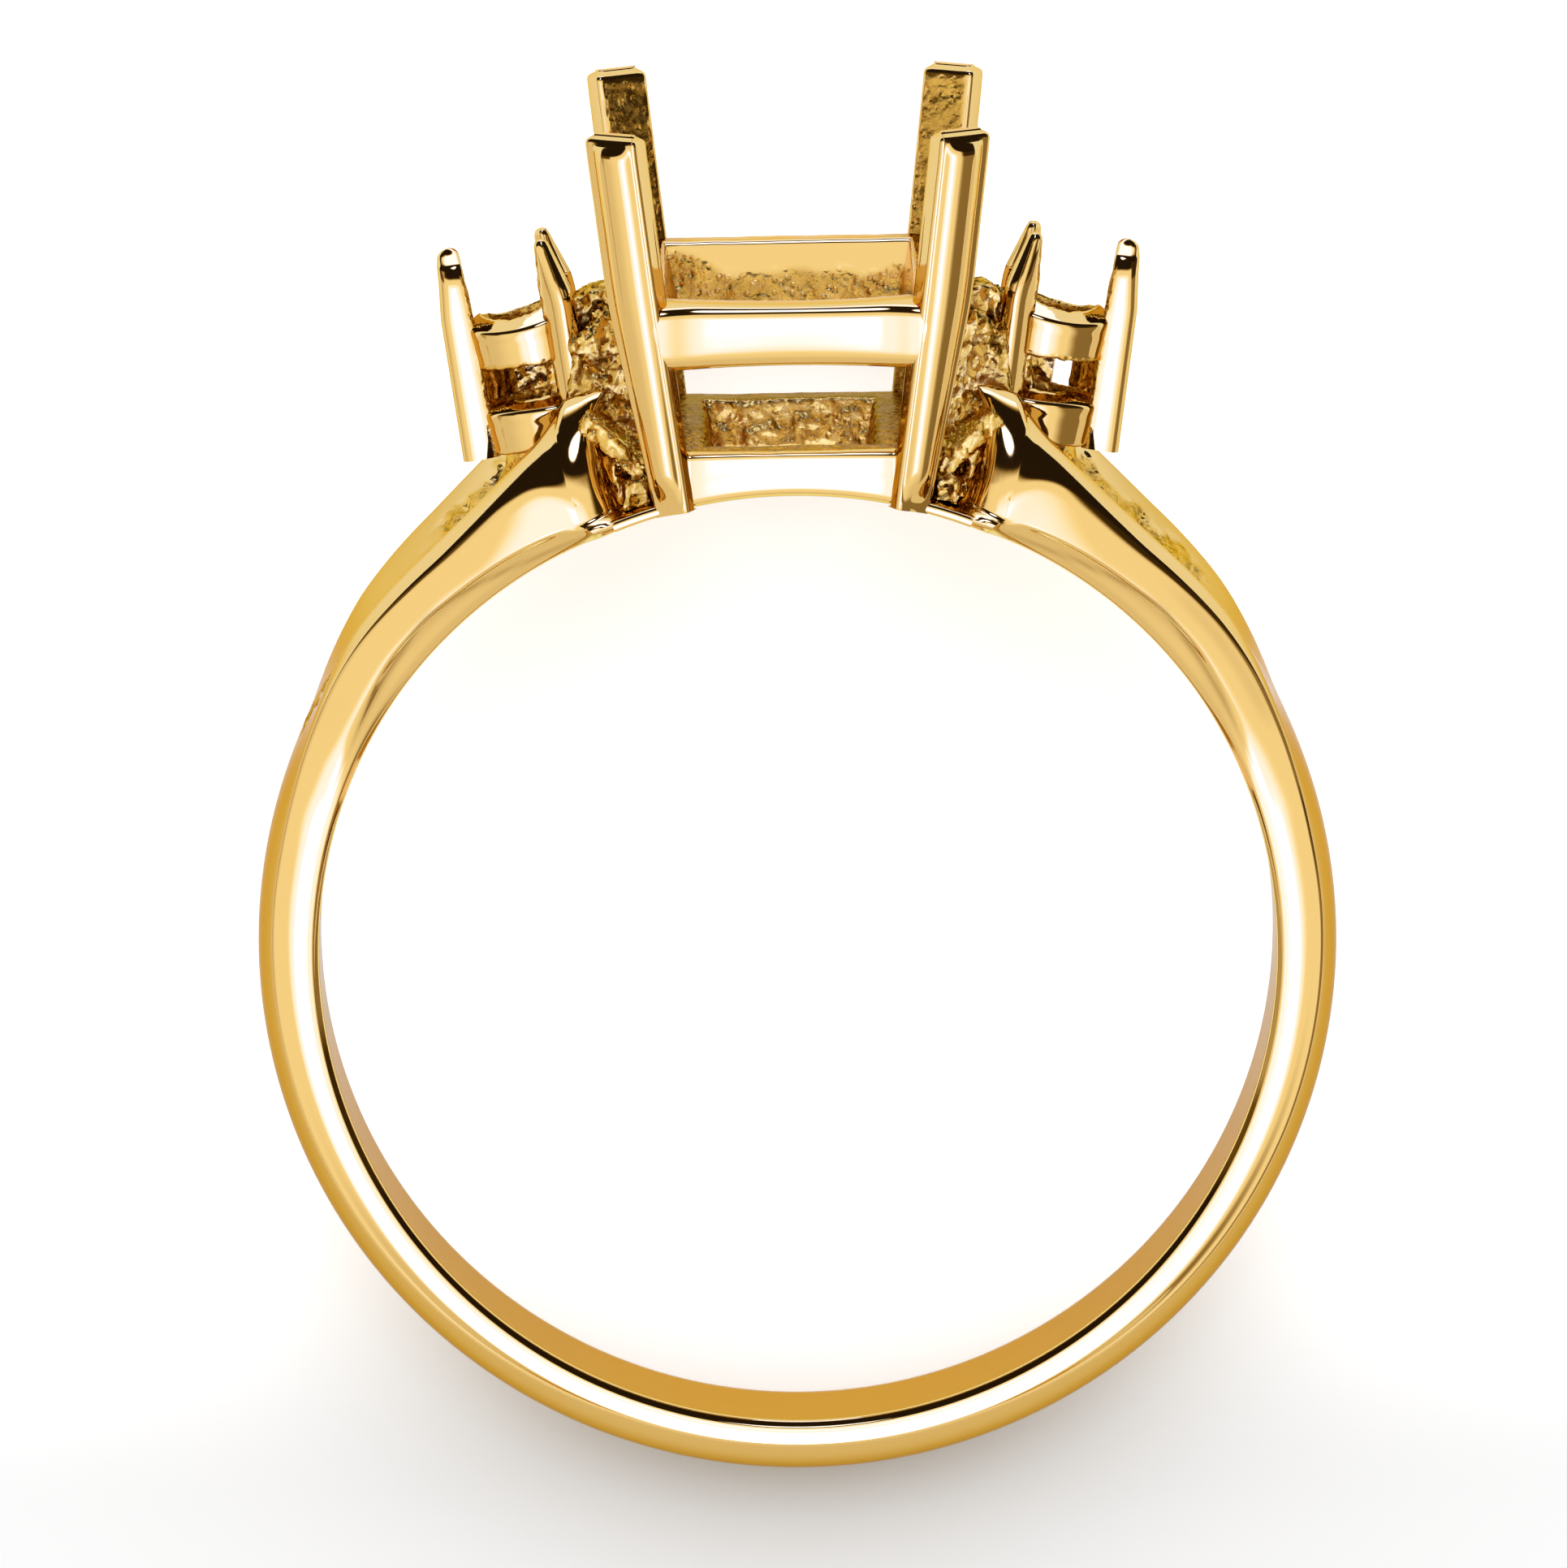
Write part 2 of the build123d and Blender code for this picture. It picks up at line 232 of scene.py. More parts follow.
@dataclass
class Draft:
    """A mesh in the making, in the ring's millimetres.

    Each point has its share of rough cast: 1 is rough cast, 0 is polished, and below 0 is a painted
    dark line of shade in a crease.
    """

    points: list[Array] = field(default_factory=list)
    cast: list[Array] = field(default_factory=list)
    faces: list[tuple[int, ...]] = field(default_factory=list)
    total: int = 0

    def add_shell(self, grid: Array, cast: Array | float = 0.0, ring: bool = False) -> "Draft":
        """Add a closed shell made of loops, with its faces turned outwards.

        Args:
            grid: Points as rows, columns and coordinates, each row a loop.
            cast: Share of rough cast, below 0 painted crease shade, one number or one for each point.
            ring: Whether the last row joins the first. Otherwise both ends are capped.

        Returns:
            This draft.
        """
        rows, columns = grid.shape[:2]
        numbers = np.arange(rows * columns).reshape(rows, columns)
        first = numbers if ring else numbers[:-1]
        last = np.roll(numbers, -1, axis=0) if ring else numbers[1:]
        quads = np.stack((first, np.roll(first, -1, 1), np.roll(last, -1, 1), last), axis=-1)
        faces = [tuple(face) for face in quads.reshape(-1, 4).tolist()]
        if not ring:
            for row, flip in ((0, True), (rows - 1, False)):
                loop = [Vector(point) for point in grid[row]]
                cap = [tuple(row * columns + i for i in tri) for tri in tessellate_polygon([loop])]
                faces += self.matched_cap(cap, columns, flip)
        block = grid.reshape(-1, 3)
        if shell_volume(block, faces) < 0:
            faces = [face[::-1] for face in faces]
        self.points.append(block)
        self.cast.append(np.broadcast_to(np.asarray(cast, float).ravel(), (len(block),)).copy())
        self.faces += [tuple(i + self.total for i in face) for face in faces]
        self.total += len(block)
        return self

    @staticmethod
    def matched_cap(cap: list[tuple], count: int, flip: bool) -> list[tuple]:
        """Turn a cap's triangles to run on from the shell's quads.

        Args:
            cap: Triangles over one end's loop, all turned the same way.
            count: How many points the loop has.
            flip: Whether this is the first row's end.

        Returns:
            The triangles, turned where needed.
        """
        steps = [(b - a) % count for tri in cap for a, b in zip(tri, tri[1:] + tri[:1])]
        forward = steps.count(1) > steps.count(count - 1)
        return [tri[::-1] for tri in cap] if forward == flip else cap

    def add_copy(self, other: "Draft", matrix: Matrix) -> "Draft":
        """Add another draft, moved by a matrix.

        Args:
            other: The draft to copy.
            matrix: Its place, where a negative scale also turns its faces back.

        Returns:
            This draft.
        """
        turn = np.array(matrix)
        flip = matrix.determinant() < 0
        for block in other.points:
            self.points.append(block @ turn[:3, :3].T + turn[:3, 3])
        self.cast += [block.copy() for block in other.cast]
        self.faces += [
            tuple(i + self.total for i in (face[::-1] if flip else face)) for face in other.faces
        ]
        self.total += other.total
        return self

    def to_mesh(self, name: str) -> bpy.types.Mesh:
        """Make a mesh of the draft, still in the ring's millimetres.

        Args:
            name: The mesh's name.

        Returns:
            The mesh, with each point's share of rough cast and painted crease shade as an attribute.
        """
        mesh = bpy.data.meshes.new(name)
        mesh.from_pydata(np.concatenate(self.points).tolist(), [], self.faces)
        cast_and_shade = mesh.attributes.new(CAST_AND_SHADE_ATTRIBUTE, "FLOAT", "POINT")
        cast_and_shade.data.foreach_set("value", np.concatenate(self.cast).astype(np.float32))
        mesh.update()
        return mesh


def shell_volume(points: Array, faces: Sequence[Sequence[int]]) -> float:
    """Signed volume of a closed shell.

    Args:
        points: The shell's points.
        faces: Numbers of each face's points.

    Returns:
        The volume, above 0 where the faces point outwards.
    """
    total = 0.0
    for face in faces:
        a, b = points[face[0]], points[face[1]]
        for i in range(2, len(face)):
            c = points[face[i]]
            total += float(np.dot(a, np.cross(b, c)))
            b = c
    return total / 6.0


def turned_outwards(mesh: bpy.types.Mesh) -> bpy.types.Mesh:
    """Turn a mesh's faces outwards after a mirroring.

    Args:
        mesh: The mesh, which is changed.

    Returns:
        The same mesh.
    """
    work = bmesh.new()
    work.from_mesh(mesh)
    bmesh.ops.recalc_face_normals(work, faces=work.faces)
    work.to_mesh(mesh)
    work.free()
    return mesh


def vertex_places(mesh: bpy.types.Mesh) -> Array:
    """Read the places of a mesh's vertices.

    Args:
        mesh: The mesh.

    Returns:
        The places, one row each.
    """
    places = np.zeros(len(mesh.vertices) * 3)
    mesh.vertices.foreach_get("co", places)
    return places.reshape(-1, 3)


def applied(
    mesh: bpy.types.Mesh, kind: str, settings: dict[str, Any], inputs: dict[str, Any]
) -> bpy.types.Mesh:
    """Run one modifier on a mesh.

    Args:
        mesh: The mesh that it starts from.
        kind: The modifier's type.
        settings: Its own settings by name.
        inputs: Values of a geometry tree's inputs by the socket's identifier.

    Returns:
        The result as a plain mesh.
    """
    holder = bpy.data.objects.new("holder", mesh)
    bpy.context.scene.collection.objects.link(holder)
    modifier = holder.modifiers.new("once", kind)
    for name, value in settings.items():
        setattr(modifier, name, value)
    for identifier, value in inputs.items():
        modifier[identifier] = value
    bpy.context.view_layer.update()
    graph = bpy.context.evaluated_depsgraph_get()
    made = bpy.data.meshes.new_from_object(holder.evaluated_get(graph))
    holder.modifiers.clear()
    bpy.data.objects.remove(holder)
    return made


# Material and node helpers


class Sketch:
    """Short ways to add nodes to a node tree."""

    def __init__(self, tree: bpy.types.NodeTree) -> None:
        """Keep the tree to draw in."""
        self.tree = tree

    def node(self, kind: str, inputs: dict | None = None, **settings: Any) -> bpy.types.Node:
        """Add a node.

        Args:
            kind: The node's type.
            inputs: Values or sockets by input name or number.
            **settings: The node's own settings.

        Returns:
            The node.
        """
        made = self.tree.nodes.new(kind)
        for key, value in settings.items():
            setattr(made, key, value)
        for key, value in (inputs or {}).items():
            self.feed(made.inputs[key], value)
        return made

    def feed(self, socket: bpy.types.NodeSocket, value: Any) -> None:
        """Link a socket to an input, or set its value.

        Args:
            socket: The input.
            value: The socket to link, or the value.
        """
        if isinstance(value, bpy.types.NodeSocket):
            self.tree.links.new(value, socket)
        else:
            socket.default_value = value

    def math(self, operation: str, *values: Any) -> bpy.types.NodeSocket:
        """Result of a Math node."""
        inputs = dict(enumerate(values))
        return self.node("ShaderNodeMath", inputs, operation=operation).outputs[0]

    def vector(self, operation: str, *values: Any) -> bpy.types.Node:
        """A Vector Math node."""
        return self.node("ShaderNodeVectorMath", dict(enumerate(values)), operation=operation)

    def soft(self, value: Any, low: float, high: float, start: Any = 0.0, stop: Any = 1.0) -> Any:
        """Ease from start to stop as a value goes from low to high.

        Args:
            value: What the result follows.
            low: Where it starts to change.
            high: Where it has changed.
            start: The result below that.
            stop: The result above that.

        Returns:
            The result's socket.
        """
        inputs = {0: value, 1: low, 2: high, 3: start, 4: stop}
        return self.node(
            "ShaderNodeMapRange", inputs, interpolation_type="SMOOTHSTEP", clamp=True
        ).outputs[0]

    def noise(self, place: Any, scale: float, detail: float = 2.0, rough: float = 0.5) -> Any:
        """Value of a Noise Texture."""
        inputs = {"Vector": place, "Scale": scale, "Detail": detail, "Roughness": rough}
        return self.node("ShaderNodeTexNoise", inputs).outputs[0]

    def mix_value(self, share: Any, first: Any, last: Any) -> Any:
        """Blend of two numbers."""
        inputs = {0: share, 2: first, 3: last}
        return self.node("ShaderNodeMix", inputs, data_type="FLOAT").outputs[0]

    def mix_colour(self, share: Any, first: Any, last: Any) -> Any:
        """Blend of two colours.

        Args:
            share: How much of the last one is in it.
            first: The colour at share 0.
            last: The colour at share 1.

        Returns:
            The blend's socket.
        """
        made = self.node("ShaderNodeMix", data_type="RGBA")
        self.feed(made.inputs[0], share)
        self.feed(made.inputs[6], first)
        self.feed(made.inputs[7], last)
        return made.outputs[2]


@dataclass(frozen=True)
class GoldFinish:
    """One finish of the gold, as values for the shared surface group."""

    name: str
    colour: tuple[float, float, float]
    cast_colour: tuple[float, float, float]
    polish: float
    smear: float
    cast_roughness: float
    bump_mm: float
    edge_tint: tuple[float, float, float] = (0.90, 0.64, 0.28)
    all_cast: bool = False


POLISHED = GoldFinish(
    "polished_gold", (0.73, 0.474, 0.156), (0.55, 0.303, 0.05), 0.045, 0.03, 0.28, 0.05
)
AS_CAST = GoldFinish(
    "cast_gold", (0.74, 0.46, 0.085), (0.51, 0.288, 0.052), 0.16, 0.10, 0.24, 0.035, all_cast=True
)


class GoldSurface:
    """Shader group for casting marks and a painted dark line of crease shade, and the materials that
    use it.
    """

    def __init__(self) -> None:
        """Build the group once."""
        self.group = self.build_group()

    def build_group(self) -> bpy.types.NodeTree:
        """Make the group of masks and values that every gold finish shares.

        Returns:
            The node group.
        """
        tree = bpy.data.node_groups.new("gold_surface", "ShaderNodeTree")
        for name, kind, default in (
            ("Cast", "NodeSocketFloat", 0.0),
            ("Gold", "NodeSocketColor", (0.7, 0.45, 0.15, 1.0)),
            ("Cast Gold", "NodeSocketColor", (0.6, 0.35, 0.1, 1.0)),
            ("Polish", "NodeSocketFloat", 0.05),
            ("Smear", "NodeSocketFloat", 0.03),
            ("Cast Roughness", "NodeSocketFloat", 0.3),
        ):
            socket = tree.interface.new_socket(name, in_out="INPUT", socket_type=kind)
            socket.default_value = default
        for name, kind in (
            ("Colour", "NodeSocketColor"),
            ("Roughness", "NodeSocketFloat"),
            ("Height", "NodeSocketFloat"),
        ):
            tree.interface.new_socket(name, in_out="OUTPUT", socket_type=kind)
        sketch = Sketch(tree)
        given = sketch.node("NodeGroupInput").outputs
        place = sketch.node("ShaderNodeTexCoord").outputs["Object"]
        grit = sketch.noise(place, 9000.0, 2.0, 0.62)
        lumps = sketch.noise(place, 2600.0, 2.0, 0.55)
        smears = sketch.noise(place, 420.0, 2.0, 0.6)
        drawn = sketch.vector("MULTIPLY", place, (2600.0, 2600.0, 26000.0)).outputs[0]
        lines = sketch.noise(drawn, 1.0, 1.0, 0.5)
        pits = sketch.node(
            "ShaderNodeTexVoronoi", {"Vector": place, "Scale": 6200.0}, feature="F1"
        ).outputs[0]
        uneven = sketch.math("MULTIPLY_ADD", lumps, 0.5, -0.25)
        cast = sketch.soft(sketch.math("ADD", given["Cast"], uneven), 0.1, 0.9)
        hollow = sketch.soft(sketch.math("MULTIPLY_ADD", grit, 0.4, lumps), 0.5, 0.9)
        raised = sketch.vector("MULTIPLY", given["Cast Gold"], (1.36, 1.46, 1.7)).outputs[0]
        worn = sketch.mix_colour(hollow, given["Cast Gold"], raised)
        # Below 0, the Cast input paints a dark brown line of shade into the gold along the shoulder's
        # crease.
        painted_crease_shade = sketch.soft(given["Cast"], -1.0, 0.0, 0.8, 0.0)
        plain = sketch.mix_colour(painted_crease_shade, given["Gold"], (0.30, 0.15, 0.03, 1.0))
        colour = sketch.mix_colour(cast, plain, worn)
        smeared = sketch.soft(smears, 0.35, 0.75)
        smooth = sketch.math("MULTIPLY_ADD", smeared, given["Smear"], given["Polish"])
        gritty = sketch.soft(grit, 0.3, 0.7, 0.65, 1.3)
        rough = sketch.math("MULTIPLY", given["Cast Roughness"], gritty)
        roughness = sketch.mix_value(cast, smooth, rough)
        relief = sketch.math("MULTIPLY_ADD", lumps, 0.7, sketch.math("MULTIPLY", grit, 0.3))
        relief = sketch.math("MULTIPLY_ADD", sketch.soft(pits, 0.0, 0.5), 0.35, relief)
        relief = sketch.math("SUBTRACT", relief, 0.68)
        height = sketch.mix_value(cast, sketch.math("MULTIPLY", lines, 0.0012), relief)
        result = sketch.node("NodeGroupOutput")
        sketch.feed(result.inputs["Colour"], colour)
        sketch.feed(result.inputs["Roughness"], roughness)
        sketch.feed(result.inputs["Height"], height)
        return tree

    def material(self, finish: GoldFinish) -> bpy.types.Material:
        """Make one gold material.

        Args:
            finish: The values of the finish.

        Returns:
            The material.
        """
        made = bpy.data.materials.new(finish.name)
        made.use_nodes = True
        made.node_tree.nodes.clear()
        sketch = Sketch(made.node_tree)
        surface = sketch.node("ShaderNodeGroup", node_tree=self.group)
        if finish.all_cast:
            surface.inputs["Cast"].default_value = 1.0
        else:
            cast_and_shade = sketch.node("ShaderNodeAttribute", attribute_name=CAST_AND_SHADE_ATTRIBUTE)
            sketch.feed(surface.inputs["Cast"], cast_and_shade.outputs["Fac"])
        for name, value in (
            ("Gold", (*finish.colour, 1.0)),
            ("Cast Gold", (*finish.cast_colour, 1.0)),
            ("Polish", finish.polish),
            ("Smear", finish.smear),
            ("Cast Roughness", finish.cast_roughness),
        ):
            surface.inputs[name].default_value = value
        bump = sketch.node(
            "ShaderNodeBump",
            {
                "Strength": 0.8,
                "Distance": finish.bump_mm * METRES_PER_MM,
                "Height": surface.outputs["Height"],
            },
        )
        shader = sketch.node(
            "ShaderNodeBsdfPrincipled",
            {
                "Base Color": surface.outputs["Colour"],
                "Roughness": surface.outputs["Roughness"],
                "Metallic": 1.0,
                "Specular Tint": (*finish.edge_tint, 1.0),
                "Normal": bump.outputs["Normal"],
            },
        )
        result = sketch.node("ShaderNodeOutputMaterial")
        sketch.feed(result.inputs["Surface"], shader.outputs["BSDF"])
        return made


@dataclass
class Workshop:
    """What every sub-assembly needs to finish its pieces."""

    frame: RingFrame
    polished: bpy.types.Material
    as_cast: bpy.types.Material

    def finish(
        self, mesh: bpy.types.Mesh, name: str, material: bpy.types.Material | None = None
    ) -> bpy.types.Object:
        """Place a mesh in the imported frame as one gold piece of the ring.

        Args:
            mesh: The mesh in the ring's millimetres.
            name: The piece's name.
            material: Its material, polished gold if none.

        Returns:
            The piece.
        """
        mesh.name = name
        mesh.transform(self.frame.matrix())
        mesh.shade_smooth()
        mesh.set_sharp_from_angle(angle=SHARP_ANGLE)
        mesh.materials.clear()
        mesh.materials.append(material or self.polished)
        piece = bpy.data.objects.new(name, mesh)
        bpy.context.scene.collection.objects.link(piece)
        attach(piece, BODY)
        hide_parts(NODE)
        triangles = sum(len(face.vertices) - 2 for face in mesh.polygons)
        LOG.info("%s: %d triangles", name, triangles)
        return piece


class NodeInputs(Enum):
    """Kinds of named inputs of the geometry trees."""

    LENGTH = "NodeSocketFloat"
    COUNT = "NodeSocketInt"
    MATERIAL = "NodeSocketMaterial"


class GeometryTree:
    """A Geometry Nodes tree built in the script, run on a mesh and then applied."""

    def __init__(self, name: str, inputs: Sequence[tuple[str, NodeInputs, Any]]) -> None:
        """Make the tree with its named inputs.

        Args:
            name: The tree's name.
            inputs: Name, kind and value of each input.
        """
        self.tree = bpy.data.node_groups.new(name, "GeometryNodeTree")
        self.tree.interface.new_socket("Geometry", in_out="INPUT", socket_type="NodeSocketGeometry")
        self.values = {}
        for label, kind, value in inputs:
            socket = self.tree.interface.new_socket(label, in_out="INPUT", socket_type=kind.value)
            self.values[socket.identifier] = value
        self.tree.interface.new_socket("Geometry", in_out="OUTPUT", socket_type="NodeSocketGeometry")
        self.sketch = Sketch(self.tree)
        self.source = self.sketch.node("NodeGroupInput")
        self.result = self.sketch.node("NodeGroupOutput")

    def close(self, points: Any, turn: dict[str, Any]) -> None:
        """End the tree with the mesh copied on to points, made real and given its material.

        Args:
            points: Where the copies stand.
            turn: The copies' rotation or scale, by the input's name.
        """
        given = self.source.outputs
        inputs = {"Points": points, "Instance": given["Geometry"], **turn}
        copies = self.sketch.node("GeometryNodeInstanceOnPoints", inputs)
        real = self.sketch.node("GeometryNodeRealizeInstances", {0: copies.outputs[0]})
        inputs = {"Geometry": real.outputs[0], "Material": given["Gold"]}
        dressed = self.sketch.node("GeometryNodeSetMaterial", inputs)
        self.sketch.feed(self.result.inputs[0], dressed.outputs[0])

    def run(self, mesh: bpy.types.Mesh) -> bpy.types.Mesh:
        """Run the tree on a mesh.

        Args:
            mesh: The mesh that the tree starts from.

        Returns:
            The result as a plain mesh.
        """
        return applied(mesh, "NODES", {"node_group": self.tree}, self.values)


# Shank


@dataclass
class Shank:
    """The band and its two split shoulders, one closed form from leg ends to leg ends.

    Angles are in degrees up from the ring's side, and every curve below is read at knots of
    that angle. Widths are half widths from the middle of the band.
    """

    workshop: Workshop
    crown_radius: float = 9.77
    knots: tuple = (-90, 12, 18, 25, 32, 38, 44, 50, 55, 60, 63, 66, 70, 74)
    hole_half: tuple = (
        1.345, 1.345, 1.36, 1.52, 1.76, 1.96, 2.17, 2.37, 2.54, 2.71, 2.81, 2.91, 3.05, 3.17,
    )
    edge_half: tuple = (
        1.22, 1.22, 1.24, 1.41, 1.70, 1.94, 2.18, 2.37, 2.50, 2.57, 2.53, 2.42, 2.06, 1.93,
    )
    edge_radius: tuple = (
        9.52, 9.52, 9.56, 9.66, 9.78, 9.83, 9.83, 9.85, 9.99, 10.21, 10.36, 10.40, 10.86, 11.10,
    )
    roll_radius: tuple = (
        0.13, 0.13, 0.13, 0.15, 0.17, 0.19, 0.23, 0.34, 0.48, 0.66, 0.84, 1.24, 2.15, 2.5,
    )
    face_tilt: tuple = (13, 13, 13, 13, 12, 12, 12, 11, 10, 10, 10, 11, 12, 12)
    face_push: tuple = (
        0, 0, 0, 0, 0.01, 0.04, 0.08, 0.10, 0.12, 0.08, 0.03, -0.02, -0.13, -0.22,
    )
    bevel_width: tuple = (
        0.30, 0.30, 0.30, 0.28, 0.25, 0.23, 0.22, 0.22, 0.22, 0.20, 0.20, 0.20, 0.14, 0.12,
    )
    bevel_rise: tuple = (
        0.05, 0.06, 0.08, 0.10, 0.10, 0.11, 0.13, 0.13, 0.09, 0.05, 0.05, 0.08, 0.05, 0.04,
    )
    facet_width: tuple = (
        0.20, 0.20, 0.20, 0.22, 0.34, 0.44, 0.43, 0.40, 0.38, 0.33, 0.28, 0.24, 0.17, 0.15,
    )
    crease: tuple = (0, 0, 0, 0.35, 0.9, 1, 1, 1, 1, 0.9, 0.75, 0.6, 0.3, 0.2)
    channel: tuple = (0, 0, 0, 0.0, 0.55, 1, 1, 1, 1, 1, 1, 1, 1, 1)
    floor_half: tuple = (0.2, 0.2, 0.2, 0.22, 0.3, 0.42, 0.60, 0.80, 1.0, 1.2, 1.3, 1.35, 1.35, 1.3)
    floor_radius: tuple = (
        9.77, 9.77, 9.77, 9.76, 9.73, 9.69, 9.67, 9.66, 9.65, 9.65, 9.65, 9.65, 9.65, 9.65,
    )
    counts: tuple = (8, 4, 4, 9, 3, 16, 9, 4, 4, 4, 9, 4, 7)
    end_from: float = 60.0
    end_angle: float = 71.0
    end_rounding: float = 0.75
    end_radii: tuple = (8.65, 8.79, 9.03, 9.69, 10.33, 10.7, 11.07)
    end_angles: tuple = (71.6, 71.0, 70.0, 70.0, 70.4, 70.8, 72.3)
    inward_nodes: tuple = (2, 4, 6, 7, 9, 11, 13)
    inward_shares: tuple = (0.0, 1.0, 0.9, 0.1, 0.0, 0.0, 0.0)
    down_nodes: tuple = (2, 6, 8, 9, 10, 11, 13)
    down_shares: tuple = (0.0, 0.0, 0.1, 0.15, 0.15, 0.05, 0.0)
    ease: float = 4.0
    belly_knots: tuple = (-90, -70, -45, -20, 5, 25)
    belly_drop: tuple = (0.39, 0.37, 0.22, 0.09, 0.0, 0.0)
    # Path of a painted dark line of shade along the shoulders' crease: its angles, its distance from
    # the hole's axis and its width.
    shade_line_angles: tuple = (25, 31, 35, 39, 44, 49, 55, 61, 67, 72)
    shade_line_radii: tuple = (8.90, 8.98, 9.02, 9.10, 9.22, 9.10, 8.92, 8.80, 8.76, 8.74)
    shade_line_width: float = 0.065
    mark_depth: float = 0.13

    def at(self, values: Sequence[float], angles: Array) -> Array:
        """One of the curves at these angles."""
        return eased_curve(self.knots, values, angles, self.ease)

    def sections(self, angles: Array) -> Array:
        """Half outlines of the shank, from the middle of the hole's wall round to the crown.

        Args:
            angles: Angles of the outlines.

        Returns:
            Points as outlines, points and their across and out values.
        """
        hole = self.workshop.frame.hole_radius
        curves = (
            self.hole_half, self.facet_width, self.crease, self.channel, self.edge_half,
            self.edge_radius, self.roll_radius, self.face_tilt, self.bevel_width,
            self.bevel_rise, self.floor_half, self.floor_radius, self.face_push,
        )
        half, facet, crease, channel, edge, radius, roll, tilt, width, rise, floor, low, push = (
            self.at(curve, angles) for curve in curves
        )
        drop = eased_curve(self.belly_knots, self.belly_drop, angles, self.ease)
        radius = radius - drop
        steep = np.radians(54 - 55 * drop)
        high = np.radians(66 - 50 * drop - 8 * smooth_step(angles, 64.0, 70.0))
        lean = np.radians(tilt)
        start_half = edge + roll * (np.cos(lean) - np.cos(steep))
        start_radius = radius - roll * (np.sin(steep) - np.sin(lean))
        end_half = edge - roll * (np.cos(steep) - np.cos(high))
        end_radius = radius + roll * (np.sin(high) - np.sin(steep))
        ridge_half = end_half - width
        bulge = half + 0.10 * crease + push

        def blend(across: Array, out: Array, turn: Any) -> tuple[Array, Array, Array]:
            """A node of the channel, taken from the plain crown where there is no channel yet.

            Args:
                across: How far it stands from the middle.
                out: Its distance from the hole's axis.
                turn: Its tilt.

            Returns:
                Its across, out and tilt values.
            """
            sag = (self.crown_radius - end_radius) / end_half**2
            level = self.crown_radius - sag * across**2
            angle = 90 - np.degrees(np.arctan(2 * sag * across))
            return -across, level + (out - level) * channel, angle + (turn - angle) * channel

        top = end_radius + rise
        slope = np.degrees(np.arctan2(top - low, np.maximum(ridge_half - floor, 0.1)))
        near = np.minimum(0.12, 0.3 * np.maximum(ridge_half - floor, 0.05))
        dip = near * np.tan(np.radians(slope)) * 0.45
        nodes = [
            (0.0, hole, -90),
            (-(half - 0.14 - 0.08 * crease), hole, -90),
            (-(half - 0.03 - 0.13 * crease), hole + 0.09 - 0.05 * crease, -60 + 15 * crease),
            (-(half + 0.02 * crease), hole + facet, -12 - 20 * crease),
            (-(half + 0.06 * crease), hole + facet + 0.05, -6 - 30 * crease),
            (-bulge, hole + facet + 0.14 + 0.08 * (1 - crease), 0.0),
            (-start_half, start_radius, tilt),
            (-edge, radius, np.degrees(steep)),
            (-end_half, end_radius, np.degrees(high)),
            blend(ridge_half, top, 84),
            blend(ridge_half - near, top - dip, 90 + slope),
            blend(floor + near, low + dip, 90 + slope),
            blend(floor - near, low, 90),
            (0.0, self.crown_radius + (low - self.crown_radius) * channel, 90),
        ]
        return trace_each(angles, nodes, self.counts)

    def rows(self) -> tuple[Array, Array]:
        """Half outlines of the right half, from the bottom to the leg ends.

        Returns:
            The points of each outline, and each point's angle up from the ring's side.
        """
        run = self.end_angle - self.end_from
        plain = np.arange(-90.0, 12.0, 1.5)
        opened = np.arange(12.0, self.end_from, 0.5)
        ends = np.linspace(0.0, 1.0, 24)
        nominal = self.end_from + run * ends
        angles = np.concatenate((plain, opened, nominal))
        half = self.sections(angles)
        turn = np.repeat(angles[:, None], half.shape[1], axis=1)
        stop = np.interp(half[-1, :, 1], self.end_radii, self.end_angles)
        stop_room = stop - np.degrees(self.end_rounding / half[-1, :, 1])
        first = len(plain) + len(opened)
        spare = stop_room - self.end_from - run
        turn[first:] = nominal[:, None] + spare * ends[:, None] ** 2
        rounding = self.end_rows(half[-1], stop)
        half = np.concatenate((half, rounding[0]))
        turn = np.radians(np.concatenate((turn, rounding[1])))
        across, out = half[..., 0], half[..., 1]
        grid = np.stack((out * np.cos(turn), across, out * np.sin(turn)), axis=-1)
        return grid, np.degrees(turn)

    def end_rows(self, last: Array, stop: Array) -> tuple[Array, Array]:
        """The rounded end of the legs, which closes in from the last full outline.

        Args:
            last: The last full half outline.
            stop: The angle at which each of its points ends.

        Returns:
            The outlines and their angles.
        """
        starts = np.cumsum((0, *self.counts))
        index = np.arange(len(last))
        inward = np.interp(index, starts[list(self.inward_nodes)], self.inward_shares)
        down = np.interp(index, starts[list(self.down_nodes)], self.down_shares)
        outlines, angles = [], []
        for turn in np.radians(np.linspace(9, 90, 10)):
            depth = self.end_rounding * (1 - math.cos(turn))
            outlines.append(last + depth * np.stack((inward, -down), axis=-1))
            angles.append(stop - np.degrees(self.end_rounding * (1 - math.sin(turn)) / last[:, 1]))
        return np.array(outlines), np.array(angles)

